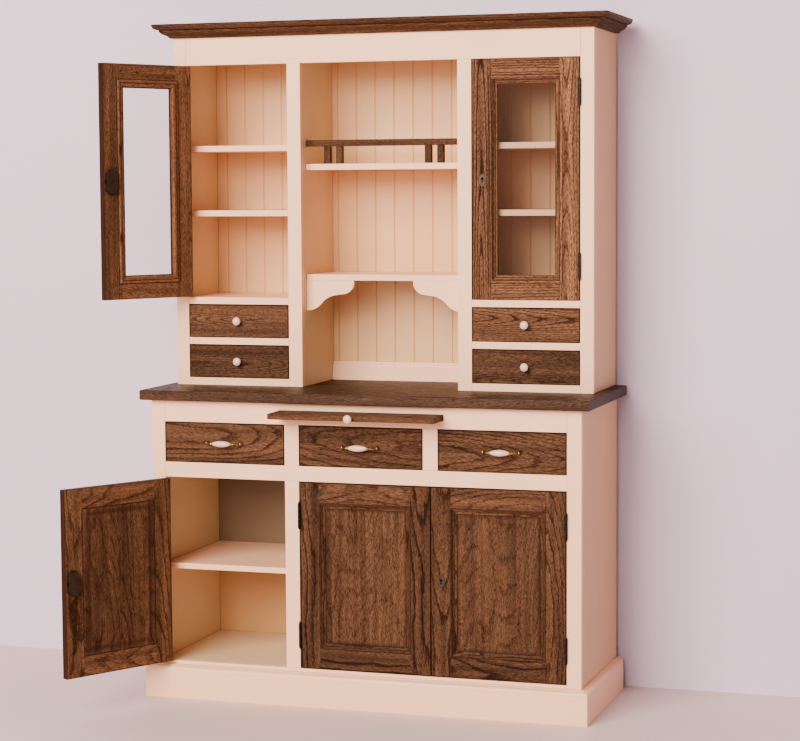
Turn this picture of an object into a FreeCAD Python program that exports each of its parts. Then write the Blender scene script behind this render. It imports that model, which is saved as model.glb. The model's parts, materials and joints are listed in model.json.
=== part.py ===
import FreeCAD
import Part
import math
import os
from types import SimpleNamespace

import Sketcher
from FreeCAD import Placement, Rotation, Vector

# A two-part kitchen buffet: a base cupboard with three doors and three drawers, and a set-back
# upper unit with two glazed cupboards, four small drawers and an open niche between them.
# Millimetres. X runs to the right, Y to the back and Z up. The origin lies on the floor, under
# the centre of the base's footprint. Both left doors stand open and the board is pulled out.

SIZES = {
    # Base carcass
    "base_width": 1250.0,
    "base_depth": 445.0,
    "side_thickness": 20.0,
    "floor_thickness": 18.0,
    "base_back_thickness": 8.0,
    "frame_thickness": 20.0,
    "base_stile_width": 40.4,
    "muntin_width": 42.0,
    "bottom_rail_height": 45.0,
    "bottom_rail_show": 10.0,
    "base_door_height": 528.5,
    "mid_rail_height": 43.0,
    "base_drawer_height": 115.0,
    "top_rail_height": 61.0,
    "base_shelf_rise": 275.5,
    "base_shelf_thickness": 16.0,
    "base_shelf_setback": 35.0,
    # Plinth
    "plinth_height": 95.5,
    "plinth_projection": 21.0,
    "plinth_round": 12.0,
    "plinth_quirk": 2.0,
    "bearer_thickness": 20.0,
    # Worktop
    "worktop_thickness": 28.5,
    "worktop_side_overhang": 26.5,
    "worktop_front_overhang": 24.5,
    "worktop_back_overhang": 12.0,
    "worktop_easing": 3.0,
    # Upper carcass
    "upper_side_inset": 6.5,
    "upper_depth": 283.5,
    "upper_stile_width": 38.0,
    "inner_stile_width": 40.5,
    "foot_rail_height": 22.0,
    "small_drawer_height": 96.5,
    "small_rail_height": 20.0,
    "upper_door_height": 664.5,
    "frieze_height": 79.0,
    "upper_top_thickness": 18.0,
    "back_board_thickness": 13.0,
    "back_board_pitch": 58.6,
    "back_board_shift": -10.0,
    "back_board_bevel": 2.5,
    "tongue_thickness": 4.0,
    "tongue_reach": 5.0,
    "tongue_gap": 0.5,
    "upper_shelf_thickness": 17.0,
    "upper_shelf_setback": 31.0,
    "first_shelf_rise": 249.5,
    "second_shelf_rise": 435.5,
    # Niche
    "niche_setback": 41.5,
    "niche_shelf_rise": 321.2,
    "gallery_shelf_rise": 635.8,
    "gallery_post_height": 49.7,
    "gallery_post_width": 18.0,
    "outer_post_place": 168.5,
    "inner_post_place": 132.0,
    "gallery_rail_height": 18.4,
    "gallery_setback": 4.0,
    "skirting_height": 55.0,
    "skirting_thickness": 12.0,
    "bracket_reach": 143.0,
    "bracket_drop": 86.5,
    "bracket_thickness": 17.0,
    # Cornice
    "cornice_height": 38.0,
    "cornice_projection": 47.6,
    "cornice_foot": 8.5,
    "cornice_inset": 28.0,
    "cornice_lip": 1.5,
    "cornice_round": 14.3,
    "cornice_step": 1.8,
    "cornice_fillet": 3.4,
    # Frame joints
    "tenon_length": 14.0,
    "tenon_thickness": 6.5,
    "tenon_shoulder": 4.5,
    # Doors
    "door_gap": 2.2,
    "hinge_gap": 2.2,
    "base_door_stile": 57.0,
    "base_door_rail": 57.0,
    "upper_door_stile": 56.5,
    "upper_door_rail": 53.5,
    "panel_recess": 9.0,
    "panel_back_recess": 1.0,
    "panel_gap": 1.0,
    "groove_depth": 8.0,
    "groove_width": 6.0,
    "panel_moulding_width": 16.0,
    "glass_moulding_width": 14.0,
    "glass_moulding_depth": 10.0,
    "moulding_step": 2.0,
    "glass_thickness": 4.0,
    "bead_width": 12.0,
    "bead_overlap": 9.0,
    "bead_rise": 5.0,
    "bead_chamfer": 3.0,
    "door_swing_angle": 120.0,
    # Hinges
    "hinge_radius": 4.0,
    "hinge_length": 68.0,
    "hinge_leaf_depth": 18.0,
    "hinge_leaf_thickness": 1.0,
    "hinge_pin_radius": 1.6,
    "hinge_tip_height": 5.0,
    "hinge_tip_radius": 1.6,
    "hinge_end_distance": 93.0,
    "running_gap": 0.3,
    "pin_clearance": 0.2,
    # Locks
    "lock_inset": 29.0,
    "base_lock_rise": 266.5,
    "upper_lock_rise": 331.4,
    "lock_case_start": 4.0,
    "lock_case_width": 40.0,
    "lock_case_height": 50.0,
    "lock_case_thickness": 10.0,
    "lock_case_inset": 2.5,
    "lock_plate_height": 67.0,
    "lock_plate_thickness": 1.6,
    "lock_ear_width": 22.0,
    "bolt_height": 12.0,
    "bolt_thickness": 5.0,
    "bolt_inside_length": 20.0,
    "bolt_rest_inset": 3.0,
    "bolt_throw": 10.0,
    "escutcheon_width": 22.0,
    "escutcheon_height": 34.0,
    "escutcheon_thickness": 1.6,
    "keyhole_radius": 3.6,
    "keyhole_height": 15.0,
    "keyhole_slot": 3.2,
    # Drawers
    "drawer_gap": 2.2,
    "drawer_side_thickness": 12.0,
    "drawer_side_lowering": 16.0,
    "drawer_bottom_thickness": 6.0,
    "drawer_bottom_rise": 8.0,
    "drawer_groove": 5.0,
    "drawer_rear_room": 22.0,
    "runner_width": 32.0,
    "runner_height": 18.0,
    # Pull-out board
    "board_width": 478.0,
    "board_thickness": 15.6,
    "board_depth": 385.0,
    "board_pull_length": 90.0,
    "board_drop": 22.0,
    "board_side_gap": 1.2,
    "board_gap": 0.6,
    "board_bearer_width": 30.0,
    "board_bearer_height": 14.0,
    "board_easing": 2.0,
    # Knobs
    "knob_diameter": 25.0,
    "knob_projection": 24.0,
    # Bow handles
    "handle_spacing": 100.0,
    "handle_projection": 24.0,
    "handle_rod_radius": 2.6,
    "handle_ball_diameter": 12.5,
    "grip_length": 54.0,
    "grip_diameter": 20.0,
    "grip_end_diameter": 7.0,
    "ferrule_length": 6.0,
    "ferrule_diameter": 10.0,
}


class Length:
    """A length kept as its number and as the formula that gives it from the sheet's cells."""

    def __init__(self, value, formula):
        self.value = value
        self.formula = formula

    def join(self, sign, other, value):
        text = other.formula if isinstance(other, Length) else repr(other)
        return Length(value, f"({self.formula} {sign} {text})")

    def __add__(self, other):
        return self.join("+", other, self.value + number(other))

    def __sub__(self, other):
        return self.join("-", other, self.value - number(other))

    def __mul__(self, other):
        return self.join("*", other, self.value * number(other))

    def __truediv__(self, other):
        return self.join("/", other, self.value / number(other))

    def __neg__(self):
        return Length(-self.value, f"(0 - {self.formula})")


def number(length):
    return length.value if isinstance(length, Length) else length


def cosine(angle):
    return Length(math.cos(math.radians(angle.value)), f"cos({angle.formula} * 1 deg)")


def sine(angle):
    return Length(math.sin(math.radians(angle.value)), f"sin({angle.formula} * 1 deg)")


def between(first, second):
    """The two lengths as a span, the lower one first."""
    return (first, second) if first.value <= second.value else (second, first)


def overlap(first, second):
    return min(first[1].value, second[1].value) > max(first[0].value, second[0].value)


ZERO = Length(0.0, "0")
LEFT, RIGHT = Vector(-1, 0, 0), Vector(1, 0, 0)
FRONT, BACK = Vector(0, -1, 0), Vector(0, 1, 0)
DOWN, UP = Vector(0, 0, -1), Vector(0, 0, 1)
ONE = 1

doc = FreeCAD.newDocument("Buffet")
sheet = doc.addObject("Spreadsheet::Sheet", "Sizes")
for row, (alias, value) in enumerate(SIZES.items(), start=1):
    sheet.set(f"A{row}", alias)
    sheet.set(f"B{row}", str(value))
    sheet.setAlias(f"B{row}", alias)
doc.recompute()
s = SimpleNamespace(**{alias: Length(sheet.get(alias), f"Sizes.{alias}") for alias in SIZES})

nodes = []


def bind(item, property_name, length):
    item.setExpression(property_name, length.formula)


def node(name, *pieces):
    """One file of the kit: one piece, or a group of separate pieces that share a name."""
    group = doc.addObject("Part::Compound", "Group")
    group.Links = list(pieces)
    group.Label = name
    nodes.append(group)
    return group


def swing(group, pivot_x, pivot_y, angle):
    """Turns a finished group about an upright pin."""
    turned_x = pivot_x * cosine(angle) - pivot_y * sine(angle)
    turned_y = pivot_x * sine(angle) + pivot_y * cosine(angle)
    bind(group, "Placement.Rotation.Angle", Length(angle.value, f"{angle.formula} * 1 deg"))
    bind(group, "Placement.Base.x", pivot_x - turned_x)
    bind(group, "Placement.Base.y", pivot_y - turned_y)


def board(name, x, y, z):
    """A square-edged board between two places on each axis."""
    box = doc.addObject("Part::Box", name)
    for axis, side, span in zip("xyz", ("Length", "Width", "Height"), (x, y, z)):
        bind(box, "Placement.Base." + axis, span[0])
        bind(box, side, span[1] - span[0])
    return box


def fused(name, *pieces):
    result = doc.addObject("Part::MultiFuse", name)
    result.Shapes = list(pieces)
    result.Refine = True
    return result


def cut(name, base, *tools):
    if not tools:
        return base
    tool = tools[0]
    if len(tools) > 1:
        tool = doc.addObject("Part::Compound", name + "_cutters")
        tool.Links = list(tools)
    result = doc.addObject("Part::Cut", name)
    result.Base = base
    result.Tool = tool
    return result


def arc_middle(start, end, radius):
    """The point half way along an arc. A positive radius swells to the left of the way it runs."""
    chord = end - start
    half = chord.Length / 2
    rise = abs(radius) - math.sqrt(max(radius * radius - half * half, 0.0))
    left = Vector(-chord.y, chord.x, 0).normalize()
    return (start + end) / 2 + left * math.copysign(rise, radius)


def flat_point(corner):
    return Vector(corner[0].value, corner[1].value, 0)


def draw(sketch, outline):
    """Draws a closed outline, with each corner tied to its formulas.

    A corner is (x, y), reached by a line, or (x, y, radius), reached by an arc.
    """
    count = len(outline)
    pins = []
    for index in range(count):
        start, end = outline[index], outline[(index + 1) % count]
        first, last = flat_point(start), flat_point(end)
        forward = True
        if len(end) == 3:
            middle = arc_middle(first, last, end[2].value)
            forward = end[2].value < 0
            ends = (first, last) if forward else (last, first)
            sketch.addGeometry(Part.Arc(ends[0], middle, ends[1]), False)
        else:
            sketch.addGeometry(Part.LineSegment(first, last), False)
        pins.append((1, 2) if forward else (2, 1))
    for index, corner in enumerate(outline):
        following = (index + 1) % count
        sketch.addConstraint(
            Sketcher.Constraint("Coincident", index, pins[index][1], following, pins[following][0])
        )
        for kind, length in zip(("DistanceX", "DistanceY"), corner):
            place = Sketcher.Constraint(kind, -1, 1, index, pins[index][0], length.value)
            constraint = sketch.addConstraint(place)
            sketch.setExpression(f"Constraints[{constraint}]", length.formula)
        arriving = (index - 1) % count
        if len(corner) == 3:
            radius = corner[2] if corner[2].value > 0 else -corner[2]
            constraint = sketch.addConstraint(Sketcher.Constraint("Radius", arriving, radius.value))
            sketch.setExpression(f"Constraints[{constraint}]", radius.formula)


def sketch_on(body, plane, offset, outline):
    sketch = body.newObject("Sketcher::SketchObject", "Outline")
    origin_plane = next(f for f in body.Origin.OriginFeatures if f.Role == plane + "_Plane")
    sketch.AttachmentSupport = [(origin_plane, "")]
    sketch.MapMode = "FlatFace"
    bind(sketch, "AttachmentOffset.Base.z", offset)
    draw(sketch, outline)
    return sketch


def padded(name, plane, outline, span):
    """A body padded from an outline on a plane between two places on the plane's normal axis.

    An XZ sketch faces the front, so its pad runs from the far place to the near one.
    """
    body = doc.addObject("PartDesign::Body", name)
    offset = -span[1] if plane == "XZ" else span[0]
    sketch = sketch_on(body, plane, offset, outline)
    pad = body.newObject("PartDesign::Pad", "Pad")
    pad.Profile = sketch
    bind(pad, "Length", span[1] - span[0])
    return body


def flat_sided(name, rings):
    """A solid with flat sides between closed rings of points, each ring parallel to its edges."""
    faces = [Part.Face(Part.makePolygon(ring + ring[:1])) for ring in (rings[0], rings[-1])]
    for low, high in zip(rings, rings[1:]):
        for index in range(len(low)):
            after = (index + 1) % len(low)
            corners = [low[index], low[after], high[after], high[index], low[index]]
            faces.append(Part.Face(Part.makePolygon(corners)))
    shell = Part.Shell(faces)
    shell.sewShape()
    solid = Part.Solid(shell)
    if solid.Volume < 0:
        solid.reverse()
    piece = doc.addObject("Part::Feature", name)
    piece.Shape = solid
    return piece


# How far a ring's first corner stands round from its first direction, as a share of a side
TURN_SHARE = 0.5


def ring_of(radius, sides, centre, across, upward):
    """The corners of a flat-sided ring round a centre, in the plane of two directions."""
    corners = []
    for index in range(sides):
        angle = math.tau * (index + TURN_SHARE) / sides
        corners.append(centre + across * radius * math.cos(angle) + upward * radius * math.sin(angle))
    return corners


def turned(name, rings, sides, along, start):
    """A turning through (radius, height) rings, from its start along a direction."""
    across = RIGHT if along.cross(UP).Length == 0 else UP
    upward = along.cross(across)
    corners = [
        ring_of(radius.value, sides, start + along * height.value, across, upward)
        for radius, height in rings
    ]
    return flat_sided(name, corners)


def place(item, x, y, z):
    for axis, length in zip("xyz", (x, y, z)):
        bind(item, "Placement.Base." + axis, length)
    return item


def profile_face(profile):
    """A flat face from a moulding's profile, as (outward, upward) corners and arcs."""
    edges = []
    for index, start in enumerate(profile):
        end = profile[(index + 1) % len(profile)]
        first, last = flat_point(start), flat_point(end)
        if len(end) == 3:
            middle = arc_middle(first, last, end[2].value)
            edges.append(Part.Arc(first, middle, last).toShape())
        else:
            edges.append(Part.LineSegment(first, last).toShape())
    return Part.Face(Part.Wire(edges))


def moulding(name, profile, start, outward, upward, length, mitres):
    """A length of moulding with square or mitred ends.

    It runs from start along outward x upward. A mitre is 1 where the moulding turns round an
    outside corner, -1 in an inside corner and 0 where the end is square.
    """
    along = outward.cross(upward)
    reach = [corner[0].value for corner in profile]
    rise = [corner[1].value for corner in profile]
    low, high = min(reach), max(reach)
    extra = max(abs(low), abs(high))
    run = length.value
    strip = profile_face(profile).extrude(Vector(0, 0, run + 2 * extra))
    strip.translate(Vector(0, 0, -extra))
    begin, finish = mitres
    plan = [
        Vector(low, min(rise), -begin * low),
        Vector(high, min(rise), -begin * high),
        Vector(high, min(rise), run + finish * high),
        Vector(low, min(rise), run + finish * low),
    ]
    footprint = Part.Face(Part.makePolygon(plan + plan[:1]))
    prism = footprint.extrude(Vector(0, max(rise) - min(rise), 0))
    piece = doc.addObject("Part::Feature", name)
    piece.Shape = strip.common(prism).Solids[0]
    piece.Placement = Placement(start, Rotation(outward, upward, along, "XYZ"))
    return piece


def point(x, y, z):
    return Vector(number(x), number(y), number(z))


def moulded_opening(name, profile, x, z, y, upward):
    """Four mitred lengths round the inside of an opening in an upright frame."""
    wide, tall = x[1] - x[0], z[1] - z[0]
    pieces = []
    sides = (
        ("left", RIGHT, (x[0], z[0]), (x[0], z[1]), tall),
        ("right", LEFT, (x[1], z[1]), (x[1], z[0]), tall),
        ("foot", UP, (x[1], z[0]), (x[0], z[0]), wide),
        ("head", DOWN, (x[0], z[1]), (x[1], z[1]), wide),
    )
    for side, outward, first, second, length in sides:
        along = outward.cross(upward)
        ends = sorted((first, second), key=lambda end: point(end[0], ZERO, end[1]).dot(along))
        start = point(ends[0][0], y, ends[0][1])
        pieces.append(moulding(f"{name}_{side}", profile, start, outward, upward, length, (-1, -1)))
    return pieces


def joined(name, members, depth, shoulder):
    """Frame members with stub tenons, and the mortises that the tenons enter.

    A member is (x span, z span, run). Its run is "x" or "z" where its ends carry tenons,
    and "" where it runs through.
    """
    middle = (depth[0] + depth[1]) / 2
    y = (middle - s.tenon_thickness / 2, middle + s.tenon_thickness / 2)
    tenons = []
    for index, (x, z, run) in enumerate(members):
        if run == "x":
            height = (z[0] + shoulder, z[1] - shoulder)
            spans = [((x[0] - s.tenon_length, x[0]), height), ((x[1], x[1] + s.tenon_length), height)]
        elif run == "z":
            width = (x[0] + shoulder, x[1] - shoulder)
            spans = [(width, (z[0] - s.tenon_length, z[0])), (width, (z[1], z[1] + s.tenon_length))]
        else:
            spans = []
        for end, (tenon_x, tenon_z) in enumerate(spans):
            tenon = board(f"{name}_tenon", tenon_x, y, tenon_z)
            tenons.append((index, tenon_x, tenon_z, tenon))
    pieces = []
    for index, (x, z, run) in enumerate(members):
        piece = board(f"{name}_member", x, depth, z)
        own = [tenon for owner, _, _, tenon in tenons if owner == index]
        if own:
            piece = fused(f"{name}_rail", piece, *own)
        mortises = [
            tenon
            for owner, tenon_x, tenon_z, tenon in tenons
            if owner != index and overlap(tenon_x, x) and overlap(tenon_z, z)
        ]
        pieces.append(cut(f"{name}_mortised", piece, *mortises))
    return pieces


# Places on the base

base_front = -(s.base_depth + s.plinth_projection) / 2 + s.plinth_projection
base_back = base_front + s.base_depth
base_half = s.base_width / 2
base_inner = base_half - s.side_thickness
base_opening = base_half - s.base_stile_width
base_rear = base_back - s.base_back_thickness
frame_depth = (base_front, base_front + s.frame_thickness)
behind_frame = base_front + s.frame_thickness

floor_top = s.plinth_height + s.bottom_rail_show
door_head = floor_top + s.base_door_height
drawer_foot = door_head + s.mid_rail_height
drawer_head = drawer_foot + s.base_drawer_height
carcass_top = drawer_head + s.top_rail_height
worktop_top = carcass_top + s.worktop_thickness

bay = (base_opening * 2 - s.muntin_width * 2) / 3
left_muntin = (-base_opening + bay, -base_opening + bay + s.muntin_width)
right_muntin = (base_opening - bay - s.muntin_width, base_opening - bay)
left_muntin_middle = (left_muntin[0] + left_muntin[1]) / 2
right_muntin_middle = (right_muntin[0] + right_muntin[1]) / 2
partition = (
    left_muntin_middle - s.side_thickness / 2,
    left_muntin_middle + s.side_thickness / 2,
)

# Places on the upper unit

# The niche's width as a share of the upper unit's
NICHE_SHARE = 0.3743
upper_back = base_back + s.worktop_back_overhang
upper_front = upper_back - s.upper_depth
upper_half = base_half - s.upper_side_inset
upper_width = upper_half * 2
upper_inner = upper_half - s.side_thickness
upper_opening = upper_half - s.upper_stile_width
upper_rear = upper_back - s.back_board_thickness
upper_frame_depth = (upper_front, upper_front + s.frame_thickness)
behind_upper_frame = upper_front + s.frame_thickness
niche_width = upper_width * NICHE_SHARE
niche_half = niche_width / 2
inner_stile_outer = niche_half + s.inner_stile_width
partition_outer = niche_half + s.side_thickness

low_drawer_foot = worktop_top + s.foot_rail_height
low_drawer_head = low_drawer_foot + s.small_drawer_height
high_drawer_foot = low_drawer_head + s.small_rail_height
high_drawer_head = high_drawer_foot + s.small_drawer_height
upper_floor_top = high_drawer_head + s.small_rail_height
upper_door_head = upper_floor_top + s.upper_door_height
upper_top = upper_door_head + s.frieze_height


def make_plinth():
    """Three mitred boards with a rounded top edge, and a bearer under the floor's middle."""
    out, top = s.plinth_projection, s.plinth_height
    shoulder = top - s.plinth_round
    profile = [
        (ZERO, ZERO),
        (out, ZERO),
        (out, shoulder - s.plinth_quirk),
        (out - s.plinth_round, top - s.plinth_quirk, -s.plinth_round),
        (out - s.plinth_round, top),
        (ZERO, top),
    ]
    left = moulding(
        "plinth_left", profile, point(-base_half, base_front, ZERO), LEFT, UP, s.base_depth, (1, 0)
    )
    front = moulding(
        "plinth_front", profile, point(base_half, base_front, ZERO), FRONT, UP, s.base_width, (1, 1)
    )
    right = moulding(
        "plinth_right", profile, point(base_half, base_back, ZERO), RIGHT, UP, s.base_depth, (0, 1)
    )
    half = s.bearer_thickness / 2
    bearer = board(
        "plinth_bearer",
        (-half, half),
        (behind_frame, base_back),
        (ZERO, floor_top - s.floor_thickness),
    )
    node("plinth_boards", left, front, right, bearer)


def make_base_carcass():
    """Sides and partition, floor, back and shelves of the base cupboard."""
    span = (behind_frame, base_back)
    floor_under = floor_top - s.floor_thickness
    left = board("base_side_left", (-base_half, -base_inner), span, (ZERO, carcass_top))
    right = board("base_side_right", (base_inner, base_half), span, (ZERO, carcass_top))
    board_bearer_foot = board_foot - s.board_gap - s.board_bearer_height
    rise = (floor_top, board_bearer_foot)
    middle = board("base_partition", partition, (behind_frame, base_rear), rise)
    node("base_uprights", left, right, middle)

    inside = (-base_inner, base_inner)
    node("base_floor", board("floor", inside, (behind_frame, base_rear), (floor_under, floor_top)))
    back = board("back", inside, (base_rear, base_back), (floor_under, carcass_top))
    node("base_back", back)

    rise = (floor_top + s.base_shelf_rise - s.base_shelf_thickness, floor_top + s.base_shelf_rise)
    depth = (base_front + s.base_shelf_setback, base_rear)
    left_shelf = board("base_shelf_left", (-base_inner, partition[0]), depth, rise)
    right_shelf = board("base_shelf_right", (partition[1], base_inner), depth, rise)
    node("base_shelves", left_shelf, right_shelf)


def make_base_frame():
    """The face frame: two outer stiles, three rails, the middle stile and the drawer muntins."""
    across = (-base_opening, base_opening)
    members = [
        ((-base_half, -base_opening), (ZERO, carcass_top), ""),
        ((base_opening, base_half), (ZERO, carcass_top), ""),
        (left_muntin, (floor_top, door_head), "z"),
        (left_muntin, (drawer_foot, drawer_head), "z"),
        (right_muntin, (drawer_foot, drawer_head), "z"),
        (across, (floor_top - s.bottom_rail_height, floor_top), "x"),
        (across, (door_head, drawer_foot), "x"),
        (across, (drawer_head, carcass_top), "x"),
    ]
    pieces = joined("base_frame", members, frame_depth, s.tenon_shoulder)
    slot_half = s.board_width / 2 + s.board_side_gap
    slot = board(
        "board_slot",
        (-slot_half, slot_half),
        frame_depth,
        (board_foot - s.board_gap, board_foot + s.board_thickness + s.board_gap),
    )
    pieces[-1] = cut("slotted_rail", pieces[-1], slot)
    node("base_frame_stiles", *pieces[:5])
    node("base_frame_rails", *pieces[5:])


def make_worktop():
    """An oak top with eased edges at its front and ends."""
    half = base_half + s.worktop_side_overhang
    front = base_front - s.worktop_front_overhang
    outline = [(-half, front), (half, front), (half, upper_back), (-half, upper_back)]
    body = padded("worktop_body", "XY", outline, (carcass_top, worktop_top))
    doc.recompute()
    pad = body.Tip
    edges = []
    for index, edge in enumerate(pad.Shape.Edges, start=1):
        middle = edge.BoundBox.Center
        level = edge.BoundBox.ZLength < s.worktop_easing.value
        at_back = edge.BoundBox.YLength < s.worktop_easing.value and middle.y > upper_rear.value
        if level and not at_back:
            edges.append(f"Edge{index}")
    easing = body.newObject("PartDesign::Fillet", "EasedEdges")
    easing.Base = (pad, edges)
    bind(easing, "Radius", s.worktop_easing)
    node("worktop", body)


def runner_pair(name, x, depth, top, left_wall, right_wall):
    """The two bearers that a drawer's sides slide on, each fixed to the wall beside it."""
    rise = (top - s.runner_height, top)
    left = board(name + "_left", (left_wall, x[0] + s.runner_width / 2), depth, rise)
    right = board(name + "_right", (x[1] - s.runner_width / 2, right_wall), depth, rise)
    return [left, right]


def make_runners():
    """Drawer runners in both units, and the bearers of the pull-out board."""
    depth = (behind_frame, base_rear)
    middle_wall = right_muntin_middle
    bays = [
        ((-base_opening, left_muntin[0]), -base_inner, partition[0]),
        ((left_muntin[1], right_muntin[0]), partition[1], middle_wall),
        ((right_muntin[1], base_opening), middle_wall, base_inner),
    ]
    pieces = []
    for index, (x, left_wall, right_wall) in enumerate(bays):
        pieces += runner_pair(f"base_runner_{index}", x, depth, drawer_foot, left_wall, right_wall)

    depth = (behind_upper_frame, upper_rear)
    for side, x, left_wall, right_wall in (
        ("left", (-upper_opening, -inner_stile_outer), -upper_inner, -partition_outer),
        ("right", (inner_stile_outer, upper_opening), partition_outer, upper_inner),
    ):
        for row, foot in enumerate((low_drawer_foot, high_drawer_foot)):
            name = f"small_runner_{side}_{row}"
            pieces += runner_pair(name, x, depth, foot, left_wall, right_wall)

    edge = s.board_width / 2 + s.board_side_gap
    rise = (board_foot - s.board_gap - s.board_bearer_height, board_foot - s.board_gap)
    for side, x in (
        ("left", (-edge, -edge + s.board_bearer_width)),
        ("right", (edge - s.board_bearer_width, edge)),
    ):
        pieces.append(board(f"board_bearer_{side}", x, (behind_frame, base_rear), rise))
    node("drawer_runners", *pieces)


def make_upper_carcass():
    """Sides, partitions, top panel, tongued back boards and shelves of the upper unit."""
    depth = (behind_upper_frame, upper_back)
    rise = (worktop_top, upper_top)
    left = board("upper_side_left", (-upper_half, -upper_inner), depth, rise)
    right = board("upper_side_right", (upper_inner, upper_half), depth, rise)
    node("upper_sides", left, right)

    under_top = upper_top - s.upper_top_thickness
    depth = (behind_upper_frame, upper_rear)
    rise = (worktop_top, under_top)
    left = board("partition_left", (-partition_outer, -niche_half), depth, rise)
    right = board("partition_right", (niche_half, partition_outer), depth, rise)
    node("upper_partitions", left, right)

    top = board("top_panel", (-upper_inner, upper_inner), depth, (under_top, upper_top))
    node("upper_top_panel", top)

    shelves = []
    tops = (ZERO, s.first_shelf_rise, s.second_shelf_rise)
    for index, rise_above_floor in enumerate(tops):
        shelf_top = upper_floor_top + rise_above_floor
        front = behind_upper_frame if index == 0 else upper_front + s.upper_shelf_setback
        z = (shelf_top - s.upper_shelf_thickness, shelf_top)
        for x in ((-upper_inner, -partition_outer), (partition_outer, upper_inner)):
            shelves.append(board(f"upper_shelf_{index}", x, (front, upper_rear), z))
    node("upper_shelves", *shelves)


def make_back_boards():
    """Upright boards with a bevel down each front edge, a tongue and a matching groove."""
    front, back = upper_rear, upper_back
    bevel, reach, gap = s.back_board_bevel, s.tongue_reach, s.tongue_gap
    middle = (front + back) / 2
    tongue_front, tongue_back = middle - s.tongue_thickness / 2, middle + s.tongue_thickness / 2
    count = math.floor((upper_half / s.back_board_pitch).value + 1)
    pieces = []
    for index in range(-count, count + 1):
        middle_x = s.back_board_shift + s.back_board_pitch * index
        left, right = middle_x - s.back_board_pitch / 2, middle_x + s.back_board_pitch / 2
        if right.value <= -upper_inner.value or left.value >= upper_inner.value:
            continue
        first = left.value <= -upper_inner.value
        last = right.value >= upper_inner.value
        if first:
            outline = [(-upper_inner, back), (-upper_inner, front)]
        else:
            outline = [
                (left, back),
                (left, tongue_back),
                (left + reach + gap, tongue_back),
                (left + reach + gap, tongue_front),
                (left, tongue_front),
                (left, front + bevel),
                (left + bevel, front),
            ]
        if last:
            outline += [(upper_inner, front), (upper_inner, back)]
        else:
            outline += [
                (right - bevel, front),
                (right, front + bevel),
                (right, tongue_front),
                (right + reach, tongue_front),
                (right + reach, tongue_back),
                (right, tongue_back),
                (right, back),
            ]
        pieces.append(padded("back_board", "XY", outline, (worktop_top, upper_top)))
    node("upper_back_boards", *pieces)


def make_upper_frame():
    """The upper face frame: four stiles, the frieze and three rails under each door."""
    rise = (worktop_top, upper_top)
    under_frieze = (worktop_top, upper_door_head)
    members = [
        ((-upper_half, -upper_opening), rise, ""),
        ((upper_opening, upper_half), rise, ""),
        ((-inner_stile_outer, -niche_half), under_frieze, ""),
        ((niche_half, inner_stile_outer), under_frieze, ""),
        ((-upper_opening, upper_opening), (upper_door_head, upper_top), "x"),
    ]
    rails = (
        (worktop_top, low_drawer_foot),
        (low_drawer_head, high_drawer_foot),
        (high_drawer_head, upper_floor_top),
    )
    for x in ((-upper_opening, -inner_stile_outer), (inner_stile_outer, upper_opening)):
        members += [(x, z, "x") for z in rails]
    pieces = joined("upper_frame", members, upper_frame_depth, s.tenon_shoulder)
    node("upper_frame_stiles", *pieces[:4])
    node("upper_frame_rails", *pieces[4:])


def make_niche():
    """Two open shelves, the gallery rail on its posts, the scroll brackets and the skirting."""
    front = upper_front + s.niche_setback
    across = (-niche_half, niche_half)
    pieces = []
    for name, rise in (("lower", s.niche_shelf_rise), ("gallery", s.gallery_shelf_rise)):
        top = worktop_top + rise
        z = (top - s.upper_shelf_thickness, top)
        pieces.append(board(f"niche_shelf_{name}", across, (front, upper_rear), z))
    node("niche_shelves", *pieces)

    shelf_top = worktop_top + s.gallery_shelf_rise
    post_top = shelf_top + s.gallery_post_height
    near = front + s.gallery_setback
    depth = (near, near + s.gallery_post_width)
    rail = board("gallery_bar", across, depth, (post_top, post_top + s.gallery_rail_height))
    posts = []
    for middle in (-s.outer_post_place, -s.inner_post_place, s.inner_post_place, s.outer_post_place):
        half = s.gallery_post_width / 2
        posts.append(board("gallery_post", (middle - half, middle + half), depth, (shelf_top, post_top)))
    node("gallery_rail", rail, *posts)

    shelf_under = worktop_top + s.niche_shelf_rise - s.upper_shelf_thickness
    depth = (front, front + s.bracket_thickness)
    node(
        "scroll_brackets",
        padded("bracket_left", "XZ", bracket_outline(shelf_under, 1), depth),
        padded("bracket_right", "XZ", bracket_outline(shelf_under, -1), depth),
    )

    out, top = s.skirting_thickness, s.skirting_height
    profile = [
        (ZERO, ZERO),
        (out, ZERO),
        (out, top - out),
        (out / 2, top - out / 2, -(out / 2)),
        (out / 2, top),
        (ZERO, top),
    ]
    start = point(niche_half, upper_rear, worktop_top)
    node("niche_skirting", moulding("skirting", profile, start, FRONT, UP, niche_width, (0, 0)))


# A bracket's outline from the wall to the shelf: shares of its reach and of its drop, and for an
# arc the share of the drop that is its radius, positive where the edge is hollow
BRACKET_SHARES = (
    (0.05, 1.00),
    (0.30, 0.79, -0.68),
    (0.60, 0.49, 0.76),
    (0.80, 0.445),
    (1.00, 0.10, -0.405),
    (1.00, 0.00),
)


def bracket_outline(shelf_under, side):
    """The scroll: a rounded toe at the wall, a straight flank, a hollow and a round nose."""
    wall = -niche_half * side
    reach, drop = s.bracket_reach * side, s.bracket_drop
    outline = [(wall, shelf_under), (wall, shelf_under - drop)]
    for out_share, drop_share, *radius_share in BRACKET_SHARES:
        corner = [wall + reach * out_share, shelf_under - drop * drop_share]
        corner += [drop * share * side for share in radius_share]
        outline.append(tuple(corner))
    return outline


# The turn of the cornice's lower curve, as shares of its reach and of its height, and the radii of
# its hollow and of its swell, as shares of the round above it
TURN_OUT_SHARE, TURN_UP_SHARE = 0.42, 0.43
HOLLOW_SHARE, SWELL_SHARE = 1.3, 1.5


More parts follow.
